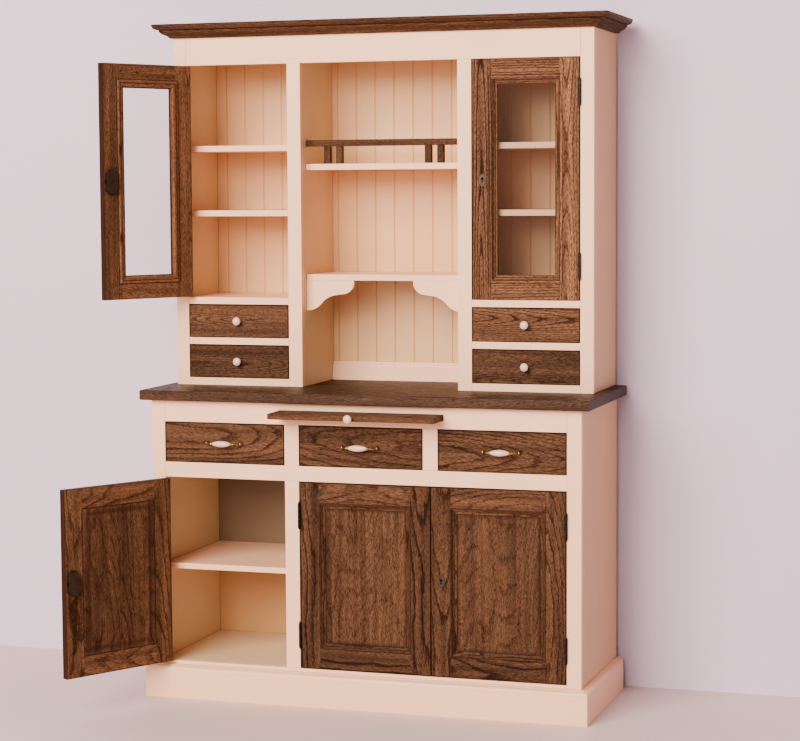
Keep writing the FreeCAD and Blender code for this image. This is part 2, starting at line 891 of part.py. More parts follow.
def make_cornice():
    """Three mitred boards: a lip and a round, a step and a fillet, then a swell into a hollow."""
    out, top, foot = s.cornice_projection, s.cornice_height, s.cornice_foot
    curve = s.cornice_round
    under_round = top - s.cornice_lip - curve
    step_out = out - curve - s.cornice_step
    curve_top = under_round - s.cornice_fillet
    turn_out = foot + (step_out - foot) * TURN_OUT_SHARE
    turn_up = curve_top * TURN_UP_SHARE
    profile = [
        (-s.cornice_inset, ZERO),
        (foot, ZERO),
        (turn_out, turn_up, curve * HOLLOW_SHARE),
        (step_out, curve_top, -(curve * SWELL_SHARE)),
        (step_out, under_round),
        (out - curve, under_round),
        (out, top - s.cornice_lip, -curve),
        (out, top),
        (-s.cornice_inset, top),
    ]
    side = upper_back - upper_front
    left = moulding(
        "cornice_left", profile, point(-upper_half, upper_front, upper_top), LEFT, UP, side, (1, 0)
    )
    front = moulding(
        "cornice_front",
        profile,
        point(upper_half, upper_front, upper_top),
        FRONT,
        UP,
        upper_width,
        (1, 1),
    )
    right = moulding(
        "cornice_right", profile, point(upper_half, upper_back, upper_top), RIGHT, UP, side, (0, 1)
    )
    node("cornice_boards", left, front, right)


# A hinge's knuckles share its length equally: the end ones are the frame leaf's
KNUCKLE_COUNT = 3
KNUCKLE_SIDES = 8


def round_rod(name, radius, height):
    """An upright round rod."""
    rod = doc.addObject("Part::Cylinder", name)
    bind(rod, "Radius", radius)
    bind(rod, "Height", height)
    return rod


def hinge(name, frame_edge, face, middle, side):
    """One butt hinge: the leaf on the frame with its pin, and the leaf on the door.

    The side is 1 where the door lies to the right of the pin and -1 where it lies to the left.
    """
    door_edge = frame_edge + s.hinge_gap * side
    axis_x = frame_edge + s.hinge_gap / 2 * side
    axis_y = face - s.hinge_radius - s.running_gap
    thickness = s.hinge_leaf_thickness * side
    foot = middle - s.hinge_length / 2
    pitch = s.hinge_length / KNUCKLE_COUNT
    leaf_depth = (face + s.running_gap, face + s.hinge_leaf_depth)
    leaf_height = (foot, foot + s.hinge_length)
    frame_x = between(frame_edge, frame_edge + thickness)
    door_x = between(door_edge - thickness, door_edge)
    frame_parts = [board(name + "_leaf", frame_x, leaf_depth, leaf_height)]
    door_parts = [board(name + "_leaf", door_x, leaf_depth, leaf_height)]
    for index in range(KNUCKLE_COUNT):
        low = foot + pitch * index + s.running_gap / 2
        height = pitch - s.running_gap
        rings = [(s.hinge_radius, ZERO), (s.hinge_radius, height)]
        if index == 0:
            rings.insert(0, (s.hinge_tip_radius, -s.hinge_tip_height))
        if index == KNUCKLE_COUNT - 1:
            rings.append((s.hinge_tip_radius, height + s.hinge_tip_height))
        start = point(axis_x, axis_y, low)
        knuckle = turned(name + "_knuckle", rings, KNUCKLE_SIDES, UP, start)
        on_frame = index % 2 == 0
        web_x = frame_x if on_frame else door_x
        web = board(name + "_web", web_x, (axis_y, face + s.running_gap), (low, low + height))
        (frame_parts if on_frame else door_parts).extend([knuckle, web])
    rod = (("pin", s.hinge_pin_radius), ("bore", s.hinge_pin_radius + s.pin_clearance))
    pin, bore = [round_rod(f"{name}_{kind}", radius, s.hinge_length) for kind, radius in rod]
    for piece in (pin, bore):
        place(piece, axis_x, axis_y, foot)
    frame_parts.append(pin)
    frame_leaf = fused(name + "_frame_leaf", *frame_parts)
    door_leaf = cut(name + "_door_leaf", fused(name + "_door_parts", *door_parts), bore)
    return frame_leaf, door_leaf


KEYHOLE_SIDES = 10


def keyhole(name, x, y, middle):
    """A cutter in the shape of a keyhole, through a span of depth."""
    centre = middle + s.keyhole_height / 2 - s.keyhole_radius
    rings = [(s.keyhole_radius, ZERO), (s.keyhole_radius, y[1] - y[0])]
    head = turned(name + "_head", rings, KEYHOLE_SIDES, BACK, point(x, y[0], centre))
    slot = board(
        name + "_slot",
        (x - s.keyhole_slot / 2, x + s.keyhole_slot / 2),
        y,
        (middle - s.keyhole_height / 2, centre),
    )
    return fused(name, head, slot)


# The radii of a lock plate's outline: its hollow as a share of its rise, its crown of its half width
LOCK_SWEEP_SHARE = 1.4
LOCK_CROWN_SHARE = 1.6
OVAL_SIDES = 18


def crowned_outline(centre, middle, inset):
    """A lock's outline: upright sides, hollow shoulders and a low crown at each end."""
    half, plate_half = s.lock_case_height / 2 - inset, s.lock_plate_height / 2 - inset
    ear, shoulder = s.lock_ear_width / 2, s.lock_case_width / 2 - inset
    sweep = (plate_half - half) * LOCK_SWEEP_SHARE
    crown = ear * LOCK_CROWN_SHARE
    return [
        (centre - shoulder, middle - half),
        (centre - ear, middle - plate_half, sweep),
        (centre + ear, middle - plate_half, -crown),
        (centre + shoulder, middle - half, sweep),
        (centre + shoulder, middle + half),
        (centre + ear, middle + plate_half, sweep),
        (centre - ear, middle + plate_half, -crown),
        (centre - shoulder, middle + half, sweep),
    ]


def lock(name, door_edge, face, middle, side):
    """A rim lock on the door's back, its bolt, the escutcheon on the front and the keyhole.

    The side is 1 where the door lies to the right of its free edge and -1 to the left.
    """
    back = face + s.frame_thickness
    near = door_edge + s.lock_case_start * side
    far = near + s.lock_case_width * side
    case_x = between(near, far)
    centre_x = (case_x[0] + case_x[1]) / 2
    outline = crowned_outline(centre_x, middle, ZERO)
    plate = padded(name + "_plate", "XZ", outline, (back, back + s.lock_plate_thickness))
    flat_outline = [corner[:2] for corner in crowned_outline(centre_x, middle, s.lock_case_inset)]
    case = padded(name + "_case", "XZ", flat_outline, (back, back + s.lock_case_thickness))
    bolt_y = (back + s.lock_plate_thickness, back + s.lock_plate_thickness + s.bolt_thickness)
    bolt_z = (middle - s.bolt_height / 2, middle + s.bolt_height / 2)
    tip = door_edge + s.bolt_rest_inset * side
    tail = near + s.bolt_inside_length * side
    bolt = board(name + "_tongue", between(tip, tail), bolt_y, bolt_z)
    gap = s.running_gap
    way = board(
        name + "_bolt_way",
        between(near, tail + gap * side),
        (bolt_y[0], bolt_y[1] + gap),
        (bolt_z[0] - gap, bolt_z[1] + gap),
    )
    case = cut(name + "_body", fused(name + "_shell", plate, case), way)

    hole_x = door_edge + s.lock_inset * side
    wide, tall = s.escutcheon_width / 2, s.escutcheon_height / 2
    rings = []
    for depth in (face, face - s.escutcheon_thickness):
        centre = point(hole_x, depth, middle)
        rings.append(ring_of(ONE, OVAL_SIDES, centre, RIGHT * wide.value, UP * tall.value))
    plate = flat_sided(name + "_escutcheon", rings)
    hole = keyhole(name + "_keyhole", hole_x, (face - s.escutcheon_thickness, back), middle)
    escutcheon = cut(name + "_escutcheon_plate", plate, hole)
    return case, bolt, escutcheon, hole


# A door tenon's shoulder as a share of its member's width
SHOULDER_SHARE = 0.25

frame_leaves = []


def make_door(name, x, z, face, side, member, lock_middle, glazed=False, locked=True, open_at_rest=False):
    """A frame-and-panel or glazed door between its edges, with its hinges and its lock.

    The side is 1 where the hinges are on the left edge and -1 where they are on the right, and the
    member holds the stiles' width and the rails'.
    """
    back = face + s.frame_thickness
    depth = (face, back)
    stile, rail = member
    opening = (x[0] + stile, x[1] - stile)
    height = (z[0] + rail, z[1] - rail)
    members = [
        ((x[0], opening[0]), z, ""),
        ((opening[1], x[1]), z, ""),
        (opening, (z[0], height[0]), "x"),
        (opening, (height[1], z[1]), "x"),
    ]
    frame = joined(name, members, depth, rail * SHOULDER_SHARE)
    if glazed:
        out, sink, step = s.glass_moulding_width, s.glass_moulding_depth, s.moulding_step
        moulding_profile = moulding_section(out, sink, step)
        frame_pieces = moulded_opening(
            name + "_moulding", moulding_profile, opening, height, face + sink, FRONT
        )
        glass_y = (face + sink, face + sink + s.glass_thickness)
        gap = s.panel_gap
        panel = board(
            name + "_pane",
            (opening[0] + gap, opening[1] - gap),
            glass_y,
            (height[0] + gap, height[1] - gap),
        )
        frame_back = s.frame_thickness - sink - s.glass_thickness
        top, lap, bevel = frame_back + s.bead_rise, -s.bead_overlap, s.bead_chamfer
        bead_profile = [
            (ZERO, ZERO),
            (s.bead_width, ZERO),
            (s.bead_width, top - bevel),
            (s.bead_width - bevel, top),
            (lap + bevel, top),
            (lap, top - bevel),
            (lap, frame_back),
            (ZERO, frame_back),
        ]
        frame_pieces += moulded_opening(
            name + "_bead", bead_profile, opening, height, glass_y[1], BACK
        )
        panel_name = name + "_glass"
    else:
        groove_y = (face + s.panel_recess, face + s.panel_recess + s.groove_width)
        groove = board(
            name + "_groove",
            (opening[0] - s.groove_depth, opening[1] + s.groove_depth),
            groove_y,
            (height[0] - s.groove_depth, height[1] + s.groove_depth),
        )
        frame = [cut(name + "_grooved", piece, groove) for piece in frame]
        reach = s.groove_depth - s.panel_gap
        tongue = board(
            name + "_tongue",
            (opening[0] - reach, opening[1] + reach),
            groove_y,
            (height[0] - reach, height[1] + reach),
        )
        gap = s.panel_gap
        field = board(
            name + "_field",
            (opening[0] + gap, opening[1] - gap),
            (groove_y[0], back - s.panel_back_recess),
            (height[0] + gap, height[1] - gap),
        )
        panel = fused(name + "_board", tongue, field)
        profile = moulding_section(s.panel_moulding_width, s.panel_recess, s.moulding_step)
        frame_pieces = moulded_opening(
            name + "_moulding", profile, opening, height, face + s.panel_recess, FRONT
        )
        panel_name = name + "_panel"

    pin_edge = x[0] - s.hinge_gap if side > 0 else x[1] + s.hinge_gap
    ironwork = []
    for index, middle in enumerate((z[0] + s.hinge_end_distance, z[1] - s.hinge_end_distance)):
        leaves = hinge(f"{name}_hinge_{index}", pin_edge, face, middle, side)
        frame_leaves.append(leaves[0])
        ironwork.append(leaves[1])
    groups = []
    if locked:
        free_edge = x[1] if side > 0 else x[0]
        case, bolt, escutcheon, hole = lock(name + "_lock", free_edge, face, lock_middle, -side)
        ironwork += [case, escutcheon]
        drilled = 1 if side > 0 else 0
        frame[drilled] = cut(name + "_drilled_stile", frame[drilled], hole)
        groups.append(node(name + "_lock_bolt", bolt))
    groups.append(node(name + "_frame", *frame, *frame_pieces))
    groups.append(node(panel_name, panel))
    groups.append(node(name + "_ironwork", *ironwork))
    if open_at_rest:
        pivot_x = pin_edge + s.hinge_gap / 2 * side
        pivot_y = face - s.hinge_radius - s.running_gap
        for group in groups:
            swing(group, pivot_x, pivot_y, -s.door_swing_angle * side)


# An ovolo's radius: how much of its rise stands for the flatness of its curve
OVOLO_SHARE = 1.6


def moulding_section(out, rise, step):
    """A moulding that lies against a frame's inner edge: a flat, a step and an ovolo."""
    round_out, round_up = out - step * 2, rise - step
    return [
        (ZERO, ZERO),
        (out, ZERO),
        (out, step / 2),
        (out - step, step / 2),
        (step, rise - step / 2, (round_out * round_out + round_up * round_up) / (round_up * OVOLO_SHARE)),
        (step, rise),
        (ZERO, rise),
    ]


def make_doors():
    """Three panelled doors below and two glazed doors above."""
    gap = s.door_gap
    base_z = (floor_top + gap, door_head - gap)
    base_lock = floor_top + s.base_lock_rise
    meeting = right_muntin_middle
    member = (s.base_door_stile, s.base_door_rail)
    make_door(
        "lower_left_door",
        (-base_opening + s.hinge_gap, left_muntin[0] - gap),
        base_z, base_front, 1, member, base_lock, open_at_rest=True,
    )
    make_door(
        "lower_centre_door",
        (left_muntin[1] + s.hinge_gap, meeting - gap / 2),
        base_z, base_front, 1, member, base_lock, locked=False,
    )
    make_door(
        "lower_right_door",
        (meeting + gap / 2, base_opening - s.hinge_gap),
        base_z, base_front, -1, member, base_lock,
    )
    upper_z = (upper_floor_top + gap, upper_door_head - gap)
    upper_lock = upper_floor_top + s.upper_lock_rise
    member = (s.upper_door_stile, s.upper_door_rail)
    make_door(
        "upper_left_door",
        (-upper_opening + s.hinge_gap, -inner_stile_outer - gap),
        upper_z, upper_front, 1, member, upper_lock, glazed=True, open_at_rest=True,
    )
    make_door(
        "upper_right_door",
        (inner_stile_outer + gap, upper_opening - s.hinge_gap),
        upper_z, upper_front, -1, member, upper_lock, glazed=True,
    )
    node("hinge_frame_leaves", *frame_leaves)


def make_drawer(name, x, z, face, rear):
    """An inset drawer: a solid front, two sides, a back and a bottom let into grooves."""
    gap = s.drawer_gap
    outer = (x[0] + gap, x[1] - gap)
    behind = face + s.frame_thickness
    end = rear - s.drawer_rear_room
    low = z[0] + s.running_gap
    high = z[1] - s.drawer_side_lowering
    thickness, groove = s.drawer_side_thickness, s.drawer_groove
    inner = (outer[0] + thickness, outer[1] - thickness)
    floor = low + s.drawer_bottom_rise
    bottom_z = (floor, floor + s.drawer_bottom_thickness)
    bottom = board(
        name + "_bottom", (inner[0] - groove, inner[1] + groove), (behind - groove, end), bottom_z
    )
    front = board(name + "_front", outer, (face, behind), (z[0] + gap, z[1] - gap))
    left = board(name + "_left", (outer[0], inner[0]), (behind, end), (low, high))
    right = board(name + "_right", (inner[1], outer[1]), (behind, end), (low, high))
    back = board(name + "_back", inner, (end - thickness, end), (bottom_z[1], high))
    grooved = [cut(name + "_grooved", piece, bottom) for piece in (front, left, right)]
    node(name, *grooved, back, bottom)


# A knob's rings from its foot to its crown: shares of its radius and of its projection
KNOB_SHARES = (
    (0.64, 0.00),
    (0.42, 0.22),
    (0.52, 0.43),
    (0.92, 0.57),
    (1.00, 0.70),
    (0.88, 0.87),
    (0.40, 1.00),
)
KNOB_SIDES = 12


def make_knob(name, x, face, middle):
    """A turned porcelain knob: a foot, a waist and a domed head."""
    radius, projection = s.knob_diameter / 2, s.knob_projection
    rings = [(radius * wide, projection * high) for wide, high in KNOB_SHARES]
    node(name, turned(name + "_turning", rings, KNOB_SIDES, FRONT, point(x, face, middle)))


# A handle's round foot: shares of the ball's radius and of its height
BALL_SHARES = ((0.70, 0.0), (1.00, 0.40), (0.88, 0.72), (0.50, 0.95))
BALL_SIDES = 10
ROD_SIDES = 6
ELBOW_STEPS = 4
# A grip's rings, as shares of its half length from its middle
GRIP_SHARES = (-1.0, -0.85, -0.4, 0.4, 0.85, 1.0)
GRIP_SIDES = 12


def make_handle(name, x, face, middle):
    """A brass bow on two round feet, threaded through a porcelain grip between ferrules."""
    half, out, rod = s.handle_spacing / 2, s.handle_projection, s.handle_rod_radius
    ball, near = s.handle_ball_diameter / 2, s.grip_length / 2
    bow = []
    for side in (-1, 1):
        for step in range(ELBOW_STEPS + 1):
            angle = math.pi / 2 * step / ELBOW_STEPS
            if side > 0:
                angle = math.pi / 2 - angle
            across = RIGHT * math.cos(angle) * side + FRONT * math.sin(angle)
            centre = point(x + (half - out) * side, face, middle) + across * out.value
            bow.append(ring_of(rod.value, ROD_SIDES, centre, across, UP))
    pieces = [flat_sided(name + "_bow", bow)]
    for side in (-1, 1):
        rings = [(ball * wide, ball * 2 * high) for wide, high in BALL_SHARES]
        start = point(x + half * side, face, middle)
        pieces.append(turned(name + "_foot", rings, BALL_SIDES, FRONT, start))
        collar = s.ferrule_diameter / 2
        rings = [
            (collar - s.running_gap, ZERO),
            (collar, s.ferrule_length / 2),
            (rod + s.running_gap, s.ferrule_length),
        ]
        start = point(x + near * side, face - out, middle)
        pieces.append(turned(name + "_ferrule", rings, BALL_SIDES, RIGHT * side, start))
    node(name, fused(name + "_brass", *pieces))

    end, swell = s.grip_end_diameter / 2, s.grip_diameter / 2
    rings = [
        (end + (swell - end) * math.sqrt(1 - share * share), near + near * share)
        for share in GRIP_SHARES
    ]
    start = point(x - near, face - out, middle)
    barrel = turned(name + "_grip_barrel", rings, GRIP_SIDES, RIGHT, start)
    room = (rod + s.pin_clearance).value
    ends = [point(x - near, face - out, middle), point(x + near, face - out, middle)]
    bore = flat_sided(name + "_bore", [ring_of(room, ROD_SIDES, end, FRONT, UP) for end in ends])
    node(name + "_grip", cut(name + "_grip_turning", barrel, bore))


def make_drawers():
    """Three long drawers with bow handles, and four small ones with knobs."""
    bays = (
        ("left", (-base_opening, left_muntin[0])),
        ("centre", (left_muntin[1], right_muntin[0])),
        ("right", (right_muntin[1], base_opening)),
    )
    for side, x in bays:
        z = (drawer_foot, drawer_head)
        make_drawer(f"{side}_drawer", x, z, base_front, base_rear)
        make_handle(f"{side}_drawer_handle", (x[0] + x[1]) / 2, base_front, (z[0] + z[1]) / 2)
    sides = (
        ("left", (-upper_opening, -inner_stile_outer)),
        ("right", (inner_stile_outer, upper_opening)),
    )
    rows = (
        ("upper", (high_drawer_foot, high_drawer_head)),
        ("lower", (low_drawer_foot, low_drawer_head)),
    )
    for side, x in sides:
        for row, z in rows:
            name = f"small_drawer_{side}_{row}"
            make_drawer(name, x, z, upper_front, upper_rear)
            make_knob(name + "_knob", (x[0] + x[1]) / 2, upper_front, (z[0] + z[1]) / 2)


board_foot = carcass_top - s.board_drop - s.board_thickness
board_face = base_front - s.board_pull_length


def make_pull_out_board():
    """The oak board that slides through the top rail, with an eased front edge and a knob."""
    half = s.board_width / 2
    end = board_face + s.board_depth
    top = board_foot + s.board_thickness
    easing = s.board_easing
    outline = [
        (end, board_foot),
        (end, top),
        (board_face + easing, top),
        (board_face, top - easing, -easing),
        (board_face, board_foot + easing),
        (board_face + easing, board_foot, -easing),
    ]
    node("pull_out_board", padded("board_body", "YZ", outline, (-half, half)))
    make_knob("pull_out_board_knob", ZERO, board_face, board_foot + s.board_thickness / 2)


def check_document():
    doc.recompute()
    for item in doc.Objects:
        if "Invalid" in item.State or "Error" in item.State:
            raise RuntimeError(f"{item.Label} failed: {item.State}")
    for group in nodes:
        if group.Shape.isNull() or not group.Shape.isValid() or not group.Shape.Solids:
            raise RuntimeError(f"{group.Label} has no valid shape")


make_plinth()
make_base_carcass()
make_base_frame()
make_worktop()
make_runners()
make_upper_carcass()
make_back_boards()
make_upper_frame()
make_niche()
make_cornice()
make_doors()
make_drawers()
make_pull_out_board()
check_document()

os.makedirs("parts", exist_ok=True)
for group in nodes:
    group.Shape.exportStep(f"parts/{group.Label}.step")
print(len(nodes), "nodes,", sum(len(group.Shape.Solids) for group in nodes), "solids")
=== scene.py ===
import json
import math

import bpy
from mathutils import Matrix, Vector

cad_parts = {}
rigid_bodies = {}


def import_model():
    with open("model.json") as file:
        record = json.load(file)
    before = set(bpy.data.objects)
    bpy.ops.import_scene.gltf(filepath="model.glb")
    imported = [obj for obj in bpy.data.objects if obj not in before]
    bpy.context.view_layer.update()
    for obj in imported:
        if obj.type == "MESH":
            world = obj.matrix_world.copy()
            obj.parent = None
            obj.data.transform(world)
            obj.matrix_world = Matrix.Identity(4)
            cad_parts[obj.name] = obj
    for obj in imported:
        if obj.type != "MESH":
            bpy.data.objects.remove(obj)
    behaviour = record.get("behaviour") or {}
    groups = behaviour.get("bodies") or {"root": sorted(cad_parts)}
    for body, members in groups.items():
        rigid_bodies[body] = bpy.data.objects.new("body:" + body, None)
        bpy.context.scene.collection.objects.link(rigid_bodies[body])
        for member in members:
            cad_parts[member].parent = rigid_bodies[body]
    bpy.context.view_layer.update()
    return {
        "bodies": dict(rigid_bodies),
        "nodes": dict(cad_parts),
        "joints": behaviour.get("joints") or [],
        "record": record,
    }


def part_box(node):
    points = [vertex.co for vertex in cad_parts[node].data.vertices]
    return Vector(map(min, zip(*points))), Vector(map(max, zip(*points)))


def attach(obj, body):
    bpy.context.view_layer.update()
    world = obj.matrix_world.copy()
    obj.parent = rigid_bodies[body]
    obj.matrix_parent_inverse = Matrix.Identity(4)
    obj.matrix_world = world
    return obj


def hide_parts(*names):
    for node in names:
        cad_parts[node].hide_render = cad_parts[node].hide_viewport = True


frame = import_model()

bl_info = {
    "name": "Kitchen Buffet",
    "version": (1, 0, 0),
    "blender": (4, 5, 0),
    "location": "View3D > Sidebar > Buffet",
    "description": "Finishes a two-part kitchen buffet in stained oak and cream paint",
    "category": "Object",
}


def linear(code):
    """An sRGB hex colour as linear red, green, blue and alpha."""
    parts = [int(code[index:index + 2], 16) / 255 for index in (1, 3, 5)]
    return (*[p / 12.92 if p <= 0.04045 else ((p + 0.055) / 1.055) ** 2.4 for p in parts], 1.0)


def colour(label, code, note):
    return bpy.props.FloatVectorProperty(
        name=label, description=note, subtype="COLOR", size=4, min=0, max=1, default=linear(code)
    )


def distance(label, millimetres, note):
    return bpy.props.FloatProperty(
        name=label, description=note, subtype="DISTANCE", unit="LENGTH", default=millimetres / 1000
    )


class BuffetSizes(bpy.types.PropertyGroup):
    """Sizes of the finish."""

    easing: distance("Wood edge", 1.1, "Width that sanding takes off an edge of wood")
    metal_easing: distance("Metal edge", 0.35, "Width of the worn edge of the ironwork")
    ring: distance("Growth ring", 3.8, "Width of one growth ring where the saw cuts it square")
    pore: distance("Pore", 1.3, "Width of a group of open pores, coarser than real to show")
    pore_length: distance("Pore length", 9, "Length of a group of open pores along the grain")
    fleck: distance("Fleck", 2.0, "Width of a fleck of paler or darker wood, coarser than real")
    fleck_length: distance("Fleck length", 12, "Length of a fleck along the grain")
    band: distance("Band", 19, "Width of a band where the stain took more or less")
    stave: distance("Stave", 118, "Width of the boards glued up for the worktop")
    panel_stave: distance("Panel board", 50, "Width of the boards glued up for a door panel")
    # The dark wax along corners is drawn together with painted shade in them, over this width
    wax_and_shade_width: distance("Grime", 2.6, "Width of the dark wax in the corners of a moulding")
    crackle: distance("Crackle", 3.6, "Size of a flake in the crackled glaze")


class BuffetColours(bpy.types.PropertyGroup):
    """Colours of the finishes."""

    oak_light: colour("Oak, late wood", "#67462F", "Dense wood between the pore rings")
    oak_mid: colour("Oak, middle", "#482917", "Wood near the pore rings")
    # This dark is also the colour of the painted shade in gaps, corners and along mouldings
    oak_dark: colour("Oak, pores", "#261107", "Stain that settled in the pore rings")
    cream: colour("Cream paint", "#F8C298", "Satin paint on the carcass")
    # The outer sides are drawn in a darker cream than the front: painted shade
    cream_shaded_side: colour("Cream paint, sides", "#D7A473", "The aged coat on the outer sides")
    # The inside coats below are darker, warmer copies of the cream, drawn as painted shade
    cream_shaded_inside: colour("Cream paint, inside", "#D9BD90", "The warmer coat inside the carcass")
    cream_shaded_back: colour("Cream paint, back", "#D7A56E", "The coat on the upper back boards")
    base_back: colour("Cream paint, base back", "#BE8C54", "The coat on the back of the base")
    # A dark painted shadow on the base's back above its shelf
    base_back_painted_shadow: colour("Base back, bare", "#6E5639", "Bare wood of the back above the shelf")
    plain_wood: colour("Plain wood", "#C9A77C", "Bare wood inside the drawers")
    porcelain: colour("Porcelain", "#E6BAA1", "White glaze")
    crackle: colour("Crackle lines", "#8E857C", "Dirt in the cracks of the glaze")
    brass: colour("Brass", "#9A7A42", "Aged brass")
    brass_worn: colour("Worn brass", "#E2C98C", "Brass that hands have rubbed bright")
    iron: colour("Iron", "#1A1411", "Blackened iron")
    iron_worn: colour("Worn iron", "#2E2520", "Iron where the black has rubbed off")
    lock: colour("Lock plate", "#413227", "Worn bronze of a lock plate")
    # The panes' dark film is painted shade over what lies behind them
    glass: colour("Glass", "#37342F", "Thin film of dust on a pane")
    floor: colour("Floor", "#D8C2BB", "Floor of the stage")
    wall: colour("Wall", "#D4C3D3", "Backdrop of the stage")
    lamp: colour("Lamps", "#FFF3EE", "Light of the soft boxes")
    room: colour("Room light", "#FFF4F4", "Light from all round")


def add(tree, kind, inputs=None, **settings):
    """Adds a node with its settings, and fills or links its inputs."""
    node = tree.nodes.new("ShaderNode" + kind)
    for key, value in settings.items():
        setattr(node, key, value)
    for key, value in (inputs or {}).items():
        if isinstance(value, bpy.types.Node):
            value = value.outputs[0]
        if isinstance(value, bpy.types.NodeSocket):
            tree.links.new(value, node.inputs[key])
        else:
            node.inputs[key].default_value = value
    return node


def sizes():
    return bpy.context.scene.buffet_sizes


def colours():
    return bpy.context.scene.buffet_colours


def new_material(name):
    """An empty material with its output node."""
    material = bpy.data.materials.new(name)
    material.use_nodes = True
    tree = material.node_tree
    tree.nodes.clear()
    return material, tree, tree.nodes.new("ShaderNodeOutputMaterial")


# What the oak's figure takes and gives
FIGURE_SOCKETS = (
    ("Grain", "INPUT", "Vector"),
    ("Seed", "INPUT", "Float"),
    ("Contrast", "INPUT", "Float"),
    ("Ring", "INPUT", "Float"),
    ("Colour", "OUTPUT", "Color"),
    ("Height", "OUTPUT", "Float"),
    ("Pores", "OUTPUT", "Float"),
)
# How far the figure moves through its noise for each whole step of a seed
SEED_SHIFT = 3.7
# The heart's pace along the board and its depth, as (least, most), its bend and its place across
HEART_PACES, HEART_DEPTHS, HEART_BEND, HEART_SIDE = (2.5, 6.5), (0.002, 0.028), 0.013, 0.045
# How the heart wanders and ripples: the noise's scale and detail, and how far it moves the heart
HEART_MOVES = (((2.6, 8, 8), 0.0, 0.005), ((16, 60, 60), 1.5, 0.0007))
# By what share of a ring its edge frays, and how strong its line is along a board and by board
RING_FRAY, LINE_STRENGTHS, BOARD_STRENGTHS = 0.32, (0.60, 1.1), (1.25, 0.65)
# How dark and how light the flecks, the bands and whole boards are
FLECK_TONES, BAND_TONES, BOARD_TONES = (0.58, 1.42), (0.66, 1.34), (0.80, 1.20)
# A growth ring's darkness, from its first pores to its last wood
RING_STOPS = ((0.0, 0.1), (0.05, 1.0), (0.17, 0.8), (0.32, 0.14), (0.94, 0.0), (1.0, 0.1))
# A band of stain is this many times as long as it is wide
BAND_STRETCH = 24


def noise_at(tree, place, scale, shift, detail):
    """Noise over a place that is stretched and then shifted."""
    stretched = add(tree, "VectorMath", {0: place, 1: scale}, operation="MULTIPLY")
    shifted = add(tree, "VectorMath", {0: stretched, 1: shift}, operation="ADD")
    settings = {"Vector": shifted, "Scale": 1.0, "Detail": detail, "Roughness": 0.55}
    return add(tree, "TexNoise", settings).outputs["Fac"]


# Plain-sawn oak, stained dark: the stain fills the rings of open pores, so they are drawn as dark
# lines that make tall arches where the saw ran out of the ring, and lie straight at the sides.


